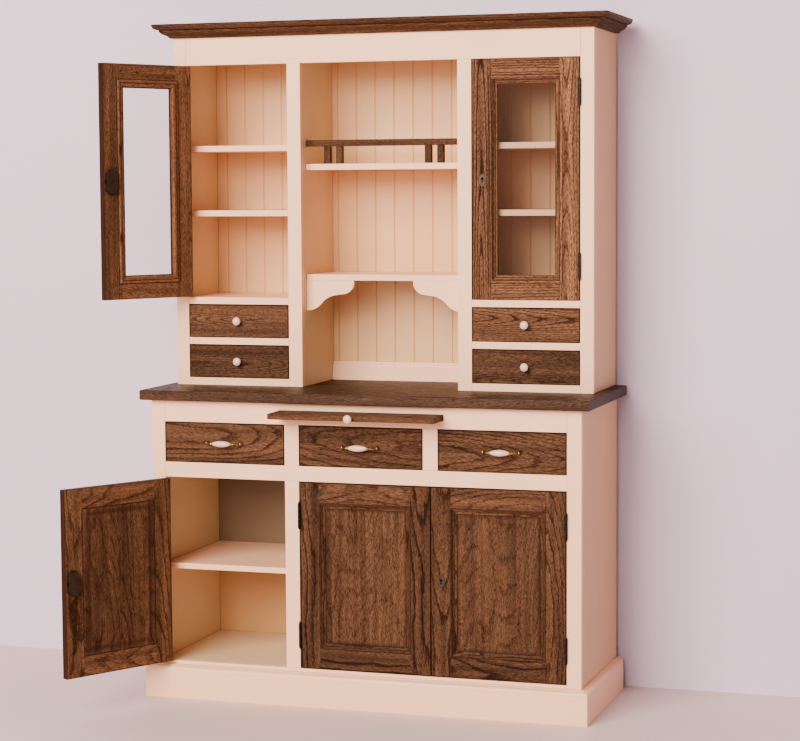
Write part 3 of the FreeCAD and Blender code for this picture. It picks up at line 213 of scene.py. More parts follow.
def oak_figure():
    """The figure of stained oak as a group: colour, height and pores from a place in the board.

    Grain is the place: along the grain, across the face and into the board. Seed is the board's own,
    Contrast says how strongly the rings are drawn, and Ring how wide they are.
    """
    known = bpy.data.node_groups.get("stained oak figure")
    if known:
        return known
    tree = bpy.data.node_groups.new("stained oak figure", "ShaderNodeTree")
    for name, direction, kind in FIGURE_SOCKETS:
        tree.interface.new_socket(name, in_out=direction, socket_type="NodeSocket" + kind)
    entry = tree.nodes.new("NodeGroupInput")
    leave = tree.nodes.new("NodeGroupOutput")
    size, tint = sizes(), colours()
    place = entry.outputs["Grain"]

    # Each board's own bend, depth and place of the heart, and tone
    chance = add(tree, "TexWhiteNoise", {"W": entry.outputs["Seed"]}, noise_dimensions="1D")
    own = add(tree, "SeparateColor", {0: chance.outputs["Color"]})
    grain = add(tree, "SeparateXYZ", {0: place})
    shift = add(tree, "Math", {0: entry.outputs["Seed"], 1: SEED_SHIFT}, operation="MULTIPLY")
    shifted = add(tree, "CombineXYZ", {0: shift, 1: shift, 2: shift})

    # The heart bends towards the face and away again, so that arches and eyes follow each other
    low, high = HEART_PACES
    pace = add(tree, "MapRange", {0: own.outputs[0], 3: low, 4: high})
    bend = add(tree, "Math", {0: grain.outputs[0], 1: pace, 2: shift}, operation="MULTIPLY_ADD")
    bend = add(tree, "Math", {0: bend}, operation="SINE")
    low, high = HEART_DEPTHS
    mean = add(tree, "MapRange", {0: own.outputs[1], 3: low, 4: high})
    depth = add(tree, "Math", {0: bend, 1: HEART_BEND, 2: mean}, operation="MULTIPLY_ADD")
    for scale, detail, reach in HEART_MOVES:
        moved = noise_at(tree, place, scale, shifted, detail)
        moved = add(tree, "MapRange", {0: moved, 1: 0.25, 2: 0.75, 3: -reach, 4: reach}, clamp=False)
        depth = add(tree, "Math", {0: depth, 1: moved}, operation="ADD")
    depth = add(tree, "Math", {0: depth, 1: grain.outputs[2]}, operation="ADD")
    heart = add(tree, "MapRange", {0: own.outputs[2], 3: -HEART_SIDE, 4: HEART_SIDE})
    across = add(tree, "Math", {0: grain.outputs[1], 1: heart}, operation="ADD")
    flat = add(tree, "CombineXYZ", {0: across, 1: depth})
    radius = add(tree, "VectorMath", {0: flat}, operation="LENGTH")

    # A ring starts with a dark line of open pores and fades into dense wood
    fray = noise_at(tree, place, (14, 260, 260), shifted, 2.0)
    radius = radius.outputs["Value"]
    count = add(tree, "Math", {0: radius, 1: entry.outputs["Ring"]}, operation="DIVIDE")
    count = add(tree, "Math", {0: fray, 1: RING_FRAY, 2: count}, operation="MULTIPLY_ADD")
    ring = add(tree, "Math", {0: count}, operation="FRACT")
    line = add(tree, "ValToRGB", {0: ring})
    stops = line.color_ramp.elements
    stops.remove(stops[-1])
    for index, (share, level) in enumerate(RING_STOPS):
        stop = stops.new(share) if index else stops[0]
        stop.color = (level, level, level, 1)
    faint = noise_at(tree, place, (2.0, 24, 24), shifted, 1.0)
    low, high = LINE_STRENGTHS
    faint = add(tree, "MapRange", {0: faint, 1: 0.35, 2: 0.65, 3: low, 4: high})
    low, high = BOARD_STRENGTHS
    plain = add(tree, "MapRange", {0: chance.outputs["Value"], 3: low, 4: high})
    for strength in (faint, plain, entry.outputs["Contrast"]):
        line = add(tree, "Math", {0: line, 1: strength}, operation="MULTIPLY")

    # Open pores: short dark streaks, thick in the ring lines
    pore_size = (1 / size.pore_length, 1 / size.pore, 1 / size.pore)
    pores = noise_at(tree, place, pore_size, shifted, 2.0)
    pores = add(tree, "Math", {0: line, 1: 0.20, 2: pores}, operation="MULTIPLY_ADD")
    pores = add(tree, "MapRange", {0: pores, 1: 0.50, 2: 0.66, 3: 0.0, 4: 0.85})
    shade = add(tree, "Mix", {0: line, 6: tint.oak_light, 7: tint.oak_mid}, data_type="RGBA")
    deep = add(tree, "Math", {0: line, 1: 0.6, 2: pores}, operation="MULTIPLY_ADD")
    deep = add(tree, "Math", {0: deep, 1: 0.85}, operation="MINIMUM")
    darkened = add(tree, "Mix", {0: deep, 6: shade.outputs[2], 7: tint.oak_dark}, data_type="RGBA")

    # Flecks and broad bands where the stain took more or less, and each board's own tone
    fleck_size = (1 / size.fleck_length, 1 / size.fleck, 1 / size.fleck)
    fleck = noise_at(tree, place, fleck_size, shifted, 2.0)
    low, high = FLECK_TONES
    fleck = add(tree, "MapRange", {0: fleck, 1: 0.3, 2: 0.7, 3: low, 4: high})
    band_size = (1 / (size.band * BAND_STRETCH), 1 / size.band, 1 / size.band)
    band = noise_at(tree, place, band_size, shifted, 1.0)
    low, high = BAND_TONES
    band = add(tree, "MapRange", {0: band, 1: 0.3, 2: 0.7, 3: low, 4: high})
    low, high = BOARD_TONES
    board = add(tree, "MapRange", {0: chance.outputs["Value"], 3: low, 4: high})
    tone = add(tree, "Math", {0: fleck, 1: band}, operation="MULTIPLY")
    tone = add(tree, "Math", {0: tone, 1: board}, operation="MULTIPLY")
    settings = {"Hue": 0.5, "Saturation": 1.0, "Value": tone, "Color": darkened.outputs[2]}
    toned = add(tree, "HueSaturation", settings)
    height = add(tree, "Math", {0: 1.0, 1: pores}, operation="SUBTRACT")
    for name, result in (("Colour", toned), ("Height", height), ("Pores", pores)):
        tree.links.new(result.outputs[0], leave.inputs[name])
    return tree


def unturned_place(tree, turn, pivot):
    """The place in the piece as it is when shut: a door that stands open is turned back."""
    place = add(tree, "TexCoord").outputs["Object"]
    if not turn:
        return place
    back = Vector(pivot) - Matrix.Rotation(turn, 3, "Z") @ Vector(pivot)
    settings = {"Vector": place, "Location": back, "Rotation": (0, 0, turn)}
    return add(tree, "Mapping", settings).outputs[0]


# How far apart the seeds are of glued boards, of a door frame's members, of the cornice's lengths
# and of the gallery's posts
BOARD_STEP, MEMBER_STEP, RETURN_STEP, POST_STEP = 1.37, 2.31, 1.7, 1.9
# How far a door member's middle lies from the edge of the opening, and the width of the pitch that
# each post of the gallery has to itself
MEMBER_MIDDLE, POST_PITCH = 0.028, 0.04


def boards_across(tree, value, width, seed):
    """Boards side by side: the place within a board, and each board's own seed."""
    cell = add(tree, "Math", {0: value, 1: width}, operation="DIVIDE")
    index = add(tree, "Math", {0: cell}, operation="FLOOR")
    within = add(tree, "Math", {0: cell}, operation="FRACT")
    within = add(tree, "Math", {0: within, 1: 0.5}, operation="SUBTRACT")
    within = add(tree, "Math", {0: within, 1: width}, operation="MULTIPLY")
    own = add(tree, "Math", {0: index, 1: BOARD_STEP, 2: seed}, operation="MULTIPLY_ADD")
    return within, own


# How much lighter than its frame a bead is, and how far a drawer's bare wood hides its figure
BEAD_TONE, BARE_SHARE = 0.2, 0.75


def beyond_edge(tree, value, half):
    """How far a place lies outside a half width, on either side of the middle."""
    out = add(tree, "Math", {0: value}, operation="ABSOLUTE")
    return add(tree, "Math", {0: out, 1: half}, operation="SUBTRACT")


def wax_and_painted_shade(tree, shade, side, rise, corners):
    """Dark wax and painted shade along corners round an opening, each as (place, width, strength)."""
    out = add(tree, "Math", {0: side, 1: rise}, operation="MAXIMUM")
    for place, width, strength in corners:
        near = add(tree, "Math", {0: out, 1: place}, operation="SUBTRACT")
        near = add(tree, "Math", {0: near}, operation="ABSOLUTE")
        near = add(tree, "MapRange", {0: near, 1: 0.0, 2: width, 3: strength, 4: 0.0})
        shades = {0: near, 6: shade, 7: colours().oak_dark}
        shade = add(tree, "Mix", shades, data_type="RGBA").outputs[2]
    return shade


# How far apart two faces are where shade is painted between them
GAP_SHADE_REACH = 0.005


def painted_gap_shade(tree, shade):
    """Painted shade where another face stands close in front: in joints, corners and gaps."""
    open_share = add(tree, "AmbientOcclusion", {"Distance": GAP_SHADE_REACH}, samples=4).outputs["AO"]
    shade_amount = add(tree, "MapRange", {0: open_share, 1: 0.15, 2: 0.70, 3: 0.85, 4: 0.0})
    return add(tree, "Mix", {0: shade_amount, 6: shade, 7: colours().oak_dark}, data_type="RGBA").outputs[2]


def stained_oak(
    name,
    seed,
    way,
    centre=(0, 0),
    half=(0, 0),
    turn=0.0,
    pivot=(0, 0, 0),
    limit=0.0,
    corners=(),
    tone=1.0,
    sheen=0.05,
    bead=0.0,
    contrast=0.7,
    ring=1.0,
    edge_over_shaded_top=1.0,
):
    """Brushed oak, stained and waxed: matt in the pores, with a low sheen between them.

    The way says how the boards lie: upright, level, top, framed, drawer, cornice or gallery.
    Corners are places outside the half sizes where dark wax and painted shade darken the wood.
    Limit is where the stain of a drawer or the edge of a worktop ends, or the height of the
    cornice's step or of the gallery's bar. A glazed door's bead lies behind the place that bead gives.
    """
    material, tree, output = new_material(name)
    size = sizes()
    place = add(tree, "SeparateXYZ", {0: unturned_place(tree, turn, pivot)})
    x, y, z = place.outputs
    from_x = add(tree, "Math", {0: x, 1: centre[0]}, operation="SUBTRACT")
    from_z = add(tree, "Math", {0: z, 1: centre[1]}, operation="SUBTRACT")
    level = add(tree, "CombineXYZ", {0: x, 1: from_z, 2: y})
    side, rise = beyond_edge(tree, from_x, half[0]), beyond_edge(tree, from_z, half[1])
    grain, own = level, seed
    if way == "upright":
        within, own = boards_across(tree, from_x, size.panel_stave, seed)
        grain = add(tree, "CombineXYZ", {0: z, 1: within, 2: y})
    elif way == "top":
        within, own = boards_across(tree, y, size.stave, seed)
        grain = add(tree, "CombineXYZ", {0: x, 1: within, 2: z})
    elif way == "framed":
        # Rails lie between the stiles, and the mouldings change way at their mitres
        inside = add(tree, "Math", {0: side, 1: 0.0}, operation="LESS_THAN")
        beyond = add(tree, "Math", {0: rise, 1: side}, operation="GREATER_THAN")
        rail = add(tree, "Math", {0: inside, 1: beyond}, operation="MULTIPLY")
        stile_x = add(tree, "Math", {0: side, 1: MEMBER_MIDDLE}, operation="SUBTRACT")
        rail_z = add(tree, "Math", {0: rise, 1: MEMBER_MIDDLE}, operation="SUBTRACT")
        stile = add(tree, "CombineXYZ", {0: z, 1: stile_x, 2: y})
        cross = add(tree, "CombineXYZ", {0: x, 1: rail_z, 2: y})
        grain = add(tree, "Mix", {0: rail, 4: stile, 5: cross}, data_type="VECTOR").outputs[1]
        left = add(tree, "Math", {0: from_x, 1: 0.0}, operation="GREATER_THAN")
        high = add(tree, "Math", {0: from_z, 1: 0.0}, operation="GREATER_THAN")
        ends = add(tree, "Mix", {0: rail, 2: left, 3: high}, data_type="FLOAT")
        ends = add(tree, "Math", {0: rail, 1: 2.0, 2: ends}, operation="MULTIPLY_ADD")
        own = add(tree, "Math", {0: ends, 1: MEMBER_STEP, 2: seed}, operation="MULTIPLY_ADD")
    elif way == "cornice":
        front = add(tree, "Math", {0: half[1], 1: y}, operation="SUBTRACT")
        turned = add(tree, "Math", {0: side, 1: front}, operation="GREATER_THAN")
        end = add(tree, "CombineXYZ", {0: y, 1: from_z, 2: x})
        grain = add(tree, "Mix", {0: turned, 4: level, 5: end}, data_type="VECTOR").outputs[1]
        own = add(tree, "Math", {0: turned, 1: RETURN_STEP, 2: seed}, operation="MULTIPLY_ADD")
        # Painted shadow lies in the step under the round
        side = rise = add(tree, "Math", {0: z, 1: limit}, operation="SUBTRACT")
    elif way == "gallery":
        post = add(tree, "Math", {0: z, 1: limit}, operation="LESS_THAN")
        upright = add(tree, "CombineXYZ", {0: z, 1: from_x, 2: y})
        grain = add(tree, "Mix", {0: post, 4: level, 5: upright}, data_type="VECTOR").outputs[1]
        row = add(tree, "Math", {0: x, 1: POST_PITCH}, operation="DIVIDE")
        row = add(tree, "Math", {0: row}, operation="ROUND")
        row = add(tree, "Math", {0: row, 1: post}, operation="MULTIPLY")
        own = add(tree, "Math", {0: row, 1: POST_STEP, 2: seed}, operation="MULTIPLY_ADD")
    settings = {"Grain": grain, "Seed": own, "Contrast": contrast, "Ring": size.ring * ring}
    figure = add(tree, "Group", settings, node_tree=oak_figure())
    if edge_over_shaded_top != 1.0:
        # The top is drawn darker than the front edge: painted shade on the top, which the lamps light
        # more
        edge = add(tree, "Math", {0: y, 1: limit}, operation="LESS_THAN")
        tone = add(tree, "Mix", {0: edge, 2: tone, 3: tone * edge_over_shaded_top}, data_type="FLOAT")
    if bead:
        # The bead behind a pane is of a lighter wood than its frame
        behind = add(tree, "Math", {0: y, 1: bead}, operation="GREATER_THAN")
        tone = add(tree, "Math", {0: behind, 1: BEAD_TONE, 2: tone}, operation="MULTIPLY_ADD")
    settings = {"Hue": 0.5, "Saturation": 1.0, "Value": tone, "Color": figure.outputs["Colour"]}
    clean = add(tree, "HueSaturation", settings).outputs[0]
    # Dark wax and painted shade along the corners
    shade = wax_and_painted_shade(tree, clean, side, rise, corners)
    if way == "drawer":
        # Only the drawer's front is stained, and the wax and painted shade along its edges end with
        # the stain
        plain = add(tree, "Math", {0: y, 1: limit}, operation="GREATER_THAN")
        shades = {0: BARE_SHARE, 6: clean, 7: colours().plain_wood}
        bare_wood_and_shadow = add(tree, "Mix", shades, data_type="RGBA").outputs[2]
        shade = add(tree, "Mix", {0: plain, 6: shade, 7: bare_wood_and_shadow}, data_type="RGBA").outputs[2]
    # Painted shade in joints, corners and gaps, where another face stands close
    shade = painted_gap_shade(tree, shade)
    rough = add(tree, "MapRange", {0: figure.outputs["Pores"], 3: 0.46, 4: 0.75})
    settings = {"Strength": 0.45, "Distance": 0.0005, "Height": figure.outputs["Height"]}
    bump = add(tree, "Bump", settings)
    settings = {"Base Color": shade, "Roughness": rough, "IOR": 1.48, "Normal": bump}
    wood = add(tree, "BsdfPrincipled", {**settings, "Specular IOR Level": sheen})
    tree.links.new(wood.outputs[0], output.inputs[0])
    return material


# Paint mottles over about 200 mm, and its brush marks are about 4 mm wide and 45 mm long, coarser
# than real. Both are in cycles per metre
MOTTLING, BRUSH_MARKS = 5.0, (260, 260, 22)


def cream_paint(name, outer_half=0.0, frame_back=0.0, shaded_coat=None, shadow_above=None):
    """Two coats of satin paint on pine: a soft sheen, with faint brush marks and mottling.

    Beyond a half width the sides take a darker cream as painted shade. Within it and behind a frame a
    darker, warmer cream is drawn as painted shade, and above a given height a dark painted shadow.
    """
    material, tree, output = new_material(name)
    place = add(tree, "TexCoord").outputs["Object"]
    mottle = add(tree, "TexNoise", {"Vector": place, "Scale": MOTTLING, "Detail": 3.0})
    tone = add(tree, "MapRange", {0: mottle.outputs["Fac"], 1: 0.3, 2: 0.7, 3: 0.97, 4: 1.02})
    tint = colours()
    coat_shade = tint.cream
    if outer_half:
        x, y, z = add(tree, "SeparateXYZ", {0: place}).outputs
        width = add(tree, "Math", {0: x}, operation="ABSOLUTE")
        outside = add(tree, "Math", {0: width, 1: outer_half}, operation="GREATER_THAN")
        # The outer sides take a darker cream: painted shade
        shades = {0: outside, 6: tint.cream, 7: tint.cream_shaded_side}
        outer = add(tree, "Mix", shades, data_type="RGBA").outputs[2]
        within = add(tree, "Math", {0: width, 1: outer_half}, operation="LESS_THAN")
        # Above the height the back takes a dark painted shadow
        if shadow_above:
            high = add(tree, "Math", {0: z, 1: shadow_above}, operation="GREATER_THAN")
            shades = {0: high, 6: shaded_coat, 7: tint.base_back_painted_shadow}
            shaded_coat = add(tree, "Mix", shades, data_type="RGBA").outputs[2]
        # Within the sides and behind the frame a darker, warmer cream is drawn: painted shade
        behind = add(tree, "Math", {0: y, 1: frame_back}, operation="GREATER_THAN")
        inside = add(tree, "Math", {0: within, 1: behind}, operation="MULTIPLY")
        shades = {0: inside, 6: outer, 7: shaded_coat}
        coat_shade = add(tree, "Mix", shades, data_type="RGBA").outputs[2]
    settings = {"Hue": 0.5, "Saturation": 1.0, "Value": tone, "Color": coat_shade}
    # Painted shade in joints, corners and gaps, where another face stands close
    shade = painted_gap_shade(tree, add(tree, "HueSaturation", settings).outputs[0])
    brushed = add(tree, "VectorMath", {0: place, 1: BRUSH_MARKS}, operation="MULTIPLY")
    marks = add(tree, "TexNoise", {"Vector": brushed, "Scale": 1.0, "Detail": 3.0})
    rough = add(tree, "MapRange", {0: marks.outputs["Fac"], 1: 0.3, 2: 0.7, 3: 0.38, 4: 0.50})
    bump = add(tree, "Bump", {"Strength": 0.12, "Distance": 0.0003, "Height": marks.outputs["Fac"]})
    settings = {"Base Color": shade, "Roughness": rough, "IOR": 1.48, "Normal": bump}
    paint = add(tree, "BsdfPrincipled", settings)
    tree.links.new(paint.outputs[0], output.inputs[0])
    return material


# The cracks' wander on each axis, its noise in cycles per metre, and the share of a flake that
# dirt darkens at its edge, so that cracks are drawn wider than real
CRACK_WANDER, CRACK_NOISE, CRACK_SHARE = (0.001, 0.001, 0.001), 300.0, 0.07


def crackled_porcelain(name):
    """Glazed porcelain: glossy, with a net of fine dark cracks in the glaze."""
    material, tree, output = new_material(name)
    tint = colours()
    place = add(tree, "TexCoord").outputs["Object"]
    bend = add(tree, "TexNoise", {"Vector": place, "Scale": CRACK_NOISE, "Detail": 1.0})
    bend = bend.outputs["Color"]
    bent = add(tree, "VectorMath", {0: bend, 1: CRACK_WANDER}, operation="MULTIPLY")
    place = add(tree, "VectorMath", {0: place, 1: bent}, operation="ADD")
    settings = {"Vector": place, "Scale": 1 / sizes().crackle}
    cells = add(tree, "TexVoronoi", settings, feature="DISTANCE_TO_EDGE").outputs["Distance"]
    lines = add(tree, "MapRange", {0: cells, 1: 0.0, 2: CRACK_SHARE, 3: 0.55, 4: 0.0})
    shade = add(tree, "Mix", {0: lines, 6: tint.porcelain, 7: tint.crackle}, data_type="RGBA")
    bump = add(tree, "Bump", {"Strength": 0.2, "Distance": 0.0002, "Height": cells})
    settings = {"Base Color": shade.outputs[2], "Roughness": 0.16, "IOR": 1.52, "Normal": bump}
    glaze = add(tree, "BsdfPrincipled", settings)
    tree.links.new(glaze.outputs[0], output.inputs[0])
    return material


# Ironwork farther than this from a door's hinge belongs to its lock
HINGE_REACH = 0.03
# The roughness and metallic share of each metal, and its worn patches in cycles per metre
IRON_FINISH, BRASS_FINISH, PATCHES = (0.46, 0.85), (0.34, 1.0), 90.0


def worn_metal(name, shade, worn, finish, lock=None, turn=0.0, pivot=(0, 0, 0)):
    """Cast metal, rubbed by hands: small patches where the finish is brighter and smoother.

    Lock is the shade of what lies away from the hinge at the pivot.
    """
    material, tree, output = new_material(name)
    roughness, metallic = finish
    place = add(tree, "TexCoord").outputs["Object"]
    if lock:
        x = add(tree, "SeparateXYZ", {0: unturned_place(tree, turn, pivot)}).outputs[0]
        away = add(tree, "Math", {0: x, 1: pivot[0]}, operation="SUBTRACT")
        away = add(tree, "Math", {0: away}, operation="ABSOLUTE")
        away = add(tree, "Math", {0: away, 1: HINGE_REACH}, operation="GREATER_THAN")
        shade = add(tree, "Mix", {0: away, 6: shade, 7: lock}, data_type="RGBA").outputs[2]
    settings = {"Vector": place, "Scale": PATCHES, "Detail": 4.0, "Roughness": 0.65}
    patches = add(tree, "TexNoise", settings).outputs["Fac"]
    wear = add(tree, "MapRange", {0: patches, 1: 0.48, 2: 0.70, 3: 0.0, 4: 1.0})
    mixed = add(tree, "Mix", {0: wear, 6: shade, 7: worn}, data_type="RGBA").outputs[2]
    rough = add(tree, "MapRange", {0: wear, 3: roughness, 4: roughness * 0.7})
    bump = add(tree, "Bump", {"Strength": 0.25, "Distance": 0.0002, "Height": patches})
    settings = {"Base Color": mixed, "Metallic": metallic, "Roughness": rough, "Normal": bump}
    metal = add(tree, "BsdfPrincipled", settings)
    tree.links.new(metal.outputs[0], output.inputs[0])
    return material


def window_glass(name, share):
    """Clear old glass: sharp reflections, and a painted-shade film hiding a share of what is behind.
    """
    material, tree, output = new_material(name)
    settings = {"Base Color": colours().glass, "Roughness": 0.02, "IOR": 1.5, "Alpha": share}
    pane = add(tree, "BsdfPrincipled", settings)
    tree.links.new(pane.outputs[0], output.inputs[0])
    return material


def coat(node, material):
    """Gives a node one finish all over."""
    mesh = frame["nodes"][node].data
    mesh.materials.clear()
    mesh.materials.append(material)


# Corners of facets nearer than this are one, and a sharper turn than this many degrees is an edge
WELD_REACH, EDGE_ANGLE = 0.00002, 40


def ease_edges(node, width):
    """Sands the edges of a node's solids by a small width."""
    item = frame["nodes"][node]
    weld = item.modifiers.new("Joined", "WELD")
    weld.merge_threshold = WELD_REACH
    bevel = item.modifiers.new("Eased", "BEVEL")
    bevel.width = width
    bevel.segments = 2
    bevel.limit_method = "ANGLE"
    bevel.angle_limit = math.radians(EDGE_ANGLE)
    bevel.use_clamp_overlap = True


def open_turn(body):
    """How far a door stands open at rest, and where its hinge is."""
    hinge = next(joint for joint in frame["joints"] if joint["child"] == body)
    return math.radians(-hinge["range_deg"][0]), hinge["pos_m"]


def shut_box(node, turn, pivot):
    """A node's box with its door shut."""
    turned = Matrix.Rotation(turn, 3, "Z")
    pivot = Vector(pivot)
    places = [turned @ (v.co - pivot) + pivot for v in frame["nodes"][node].data.vertices]
    low = Vector([min(place[axis] for place in places) for axis in range(3)])
    high = Vector([max(place[axis] for place in places) for axis in range(3)])
    return low, high


def start_fresh():
    """Leaves edit mode and deselects everything."""
    if bpy.context.object and bpy.context.object.mode != "OBJECT":
        bpy.ops.object.mode_set(mode="OBJECT")
    bpy.ops.object.select_all(action="DESELECT")


def settle(name, material, body, replaced):
    """Names the active piece, puts its place in its mesh and makes it ride on its body."""
    piece = bpy.context.object
    bpy.ops.object.select_all(action="DESELECT")
    piece.select_set(True)
    bpy.ops.object.transform_apply(location=True, rotation=True, scale=True)
    piece.name = name
    piece.data.name = name
    piece.data.materials.clear()
    piece.data.materials.append(material)
    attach(piece, body)
    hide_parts(*replaced)


def turn_on_lathe(start, along, rings, sides):
    """Turns a smooth piece from (radius, height) rings along a direction, closed at both ends."""
    start_fresh()
    along, start = Vector(along), Vector(start)
    radius, height = rings[0]
    bpy.ops.mesh.primitive_circle_add(
        vertices=sides,
        radius=radius,
        fill_type="NGON",
        location=start + along * height,
        rotation=along.to_track_quat("Z", "Y").to_euler(),
    )
    bpy.ops.object.mode_set(mode="EDIT")
    for wide, high in rings[1:]:
        bpy.ops.mesh.extrude_region_move(
            TRANSFORM_OT_translate={"value": along * (high - height), "orient_type": "GLOBAL"}
        )
        share = wide / radius
        bpy.ops.transform.resize(value=(share, share, share), center_override=start + along * high)
        radius, height = wide, high
    bpy.ops.mesh.select_all(action="SELECT")
    bpy.ops.mesh.normals_make_consistent(inside=False)
    bpy.ops.object.mode_set(mode="OBJECT")
    piece = bpy.context.object
    smooth = piece.modifiers.new("Polished", "SUBSURF")
    smooth.levels = smooth.render_levels = 1
    bpy.ops.object.modifier_apply(modifier=smooth.name)
    bpy.ops.object.shade_smooth_by_angle(angle=math.radians(40))
    return piece


# How a pane and a panel fit their frame, and the widths of the mouldings that run round them
PANE_GAP, PANEL_LAP = 0.001, 0.007
GLASS_MOULDING, PANEL_MOULDING = 0.014, 0.016
# A door frame's thickness, and how far a bead laps over the frame's back
FRAME_THICKNESS, BEAD_LAP = 0.0201, 0.0095
# The first door's seed, the step to the next, and the step from a frame to its panel
DOOR_SEED, DOOR_SEED_STEP, PANEL_SEED_STEP = 11.3, 17.9, 5.1
# How strong the dark wax and painted shade are at a frame's edges, at a bead, in a moulding's
# hollow and round a panel
FRAME_WAX_AND_SHADE, BEAD_WAX_AND_SHADE, HOLLOW_WAX_AND_SHADE, PANEL_WAX_AND_SHADE = 0.9, 0.7, 0.5, 0.55
# How strongly the rings of frames and panels are drawn
FRAME_CONTRAST, PANEL_CONTRAST = 0.6, 0.32
# The doors whose rings stand out most, and how strong and how wide they are
BOLD_DOORS, BOLD_CONTRAST, BOLD_RING = ("upper_right_door",), 1.1, 1.7
# How light the stain came out, beside the figure's own tone
TONES = {
    "lower_left_door": 1.12,
    "lower_centre_door": 0.64,
    "lower_centre_door_panel": 0.64,
    "lower_right_door": 0.72,
    "lower_right_door_panel": 0.58,
    "lower_left_door_panel": 0.74,
    "upper_left_door": 1.16,
    "upper_right_door": 1.32,
    # The worktop's tone is that of its top, which is drawn darker than its edge as painted shade
    "worktop": 0.40,
    "cornice": 0.74,
    "gallery": 0.56,
    "pull_out_board": 0.68,
    "left_drawer": 0.98,
    "centre_drawer": 0.60,
    "right_drawer": 0.75,
    "small_drawer_left_upper": 0.90,
    "small_drawer_left_lower": 0.48,
    "small_drawer_right_upper": 1.26,
    "small_drawer_right_lower": 0.64,
}


class BUFFET_OT_stain_doors(bpy.types.Operator):
    """Stains the doors' frames and panels"""

    bl_idname = "buffet.stain_doors"
    bl_label = "Stain the doors"

    def execute(self, context):
        wax_and_shade_width = sizes().wax_and_shade_width
        for index, body in enumerate(sorted(b for b in frame["bodies"] if b.endswith("_door"))):
            turn, pivot = open_turn(body)
            low, high = shut_box(body + "_frame", turn, pivot)
            centre = ((low.x + high.x) / 2, (low.z + high.z) / 2)
            glazed = body + "_glass" in frame["nodes"]
            inner = body + ("_glass" if glazed else "_panel")
            fill_low, fill_high = shut_box(inner, turn, pivot)
            lap = PANE_GAP if glazed else -PANEL_LAP
            half = ((fill_high.x - fill_low.x) / 2 + lap, (fill_high.z - fill_low.z) / 2 + lap)
            outer = (high.x - low.x) / 2 - half[0]
            moulding = -(GLASS_MOULDING if glazed else PANEL_MOULDING)
            seed = DOOR_SEED + index * DOOR_SEED_STEP
            place = {"centre": centre, "half": half, "turn": turn, "pivot": pivot}
            back = low.y + FRAME_THICKNESS if glazed else 0.0
            # Dark wax and painted shade at the opening, at the moulding's edge and at the frame's
            # outer edge
            corners = [(edge, wax_and_shade_width, FRAME_WAX_AND_SHADE) for edge in (0.0, moulding, outer)]
            if glazed:
                corners.append((BEAD_LAP, wax_and_shade_width, BEAD_WAX_AND_SHADE))
            else:
                corners.append((moulding / 2, wax_and_shade_width / 2, HOLLOW_WAX_AND_SHADE))
            bold = body in BOLD_DOORS
            framed = stained_oak(
                f"stained oak, {body} frame",
                seed,
                "framed",
                corners=corners,
                bead=back,
                contrast=BOLD_CONTRAST if bold else FRAME_CONTRAST,
                ring=BOLD_RING if bold else 1.0,
                tone=TONES[body],
                **place,
            )
            coat(body + "_frame", framed)
            ease_edges(body + "_frame", sizes().easing)
            if not glazed:
                panel = stained_oak(
                    f"stained oak, {body} panel",
                    seed + PANEL_SEED_STEP,
                    "upright",
                    corners=((moulding, wax_and_shade_width * 4, PANEL_WAX_AND_SHADE),),
                    contrast=PANEL_CONTRAST,
                    tone=TONES[inner],
                    **place,
                )
                coat(inner, panel)
        return {"FINISHED"}


# Up to this far behind its face a drawer is stained
FRONT_THICKNESS = 0.0199
# The first drawer's seed, the step to the next, the dark wax and painted gap shade round a front and
# its rings' strength
DRAWER_SEED, DRAWER_SEED_STEP, DRAWER_WAX_AND_SHADE, DRAWER_CONTRAST = 3.7, 7.7, 0.95, 0.58


class BUFFET_OT_stain_drawers(bpy.types.Operator):
    """Stains the drawers' fronts and leaves their insides bare"""

    bl_idname = "buffet.stain_drawers"
    bl_label = "Stain the drawer fronts"

    def execute(self, context):
        drawers = [n for n in frame["nodes"] if n in frame["bodies"] and "drawer" in n]
        for index, node in enumerate(sorted(drawers)):
            low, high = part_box(node)
            centre = ((low.x + high.x) / 2, (low.z + high.z) / 2)
            half = ((high.x - low.x) / 2, (high.z - low.z) / 2)
            front = stained_oak(
                f"stained oak, {node}",
                DRAWER_SEED + index * DRAWER_SEED_STEP,
                "drawer",
                centre,
                half,
                limit=low.y + FRONT_THICKNESS,
                corners=((0.0, sizes().wax_and_shade_width, DRAWER_WAX_AND_SHADE),),
                contrast=DRAWER_CONTRAST,
                tone=TONES[node],
            )
            coat(node, front)
            ease_edges(node, sizes().easing)
        return {"FINISHED"}


# How far up the cornice the step under its round lies, the painted shadow in it, and its edges'
# share of the usual sanding
CORNICE_STEP, CORNICE_STEP_SHADOW, CORNICE_EASING = 0.0215, 0.85, 0.6
# How much lighter a worktop's edge is than its top, which is drawn darker as painted shade, the
# sheen of its wax, and the gallery bar's height
WORKTOP_EDGE_OVER_SHADED_TOP, WORKTOP_SHEEN, GALLERY_BAR = 1.5, 0.12, 0.0184
# Seeds of the boards that stand alone
WORKTOP_SEED, CORNICE_SEED, BOARD_SEED, GALLERY_SEED = 41.0, 27.2, 63.1, 33.4


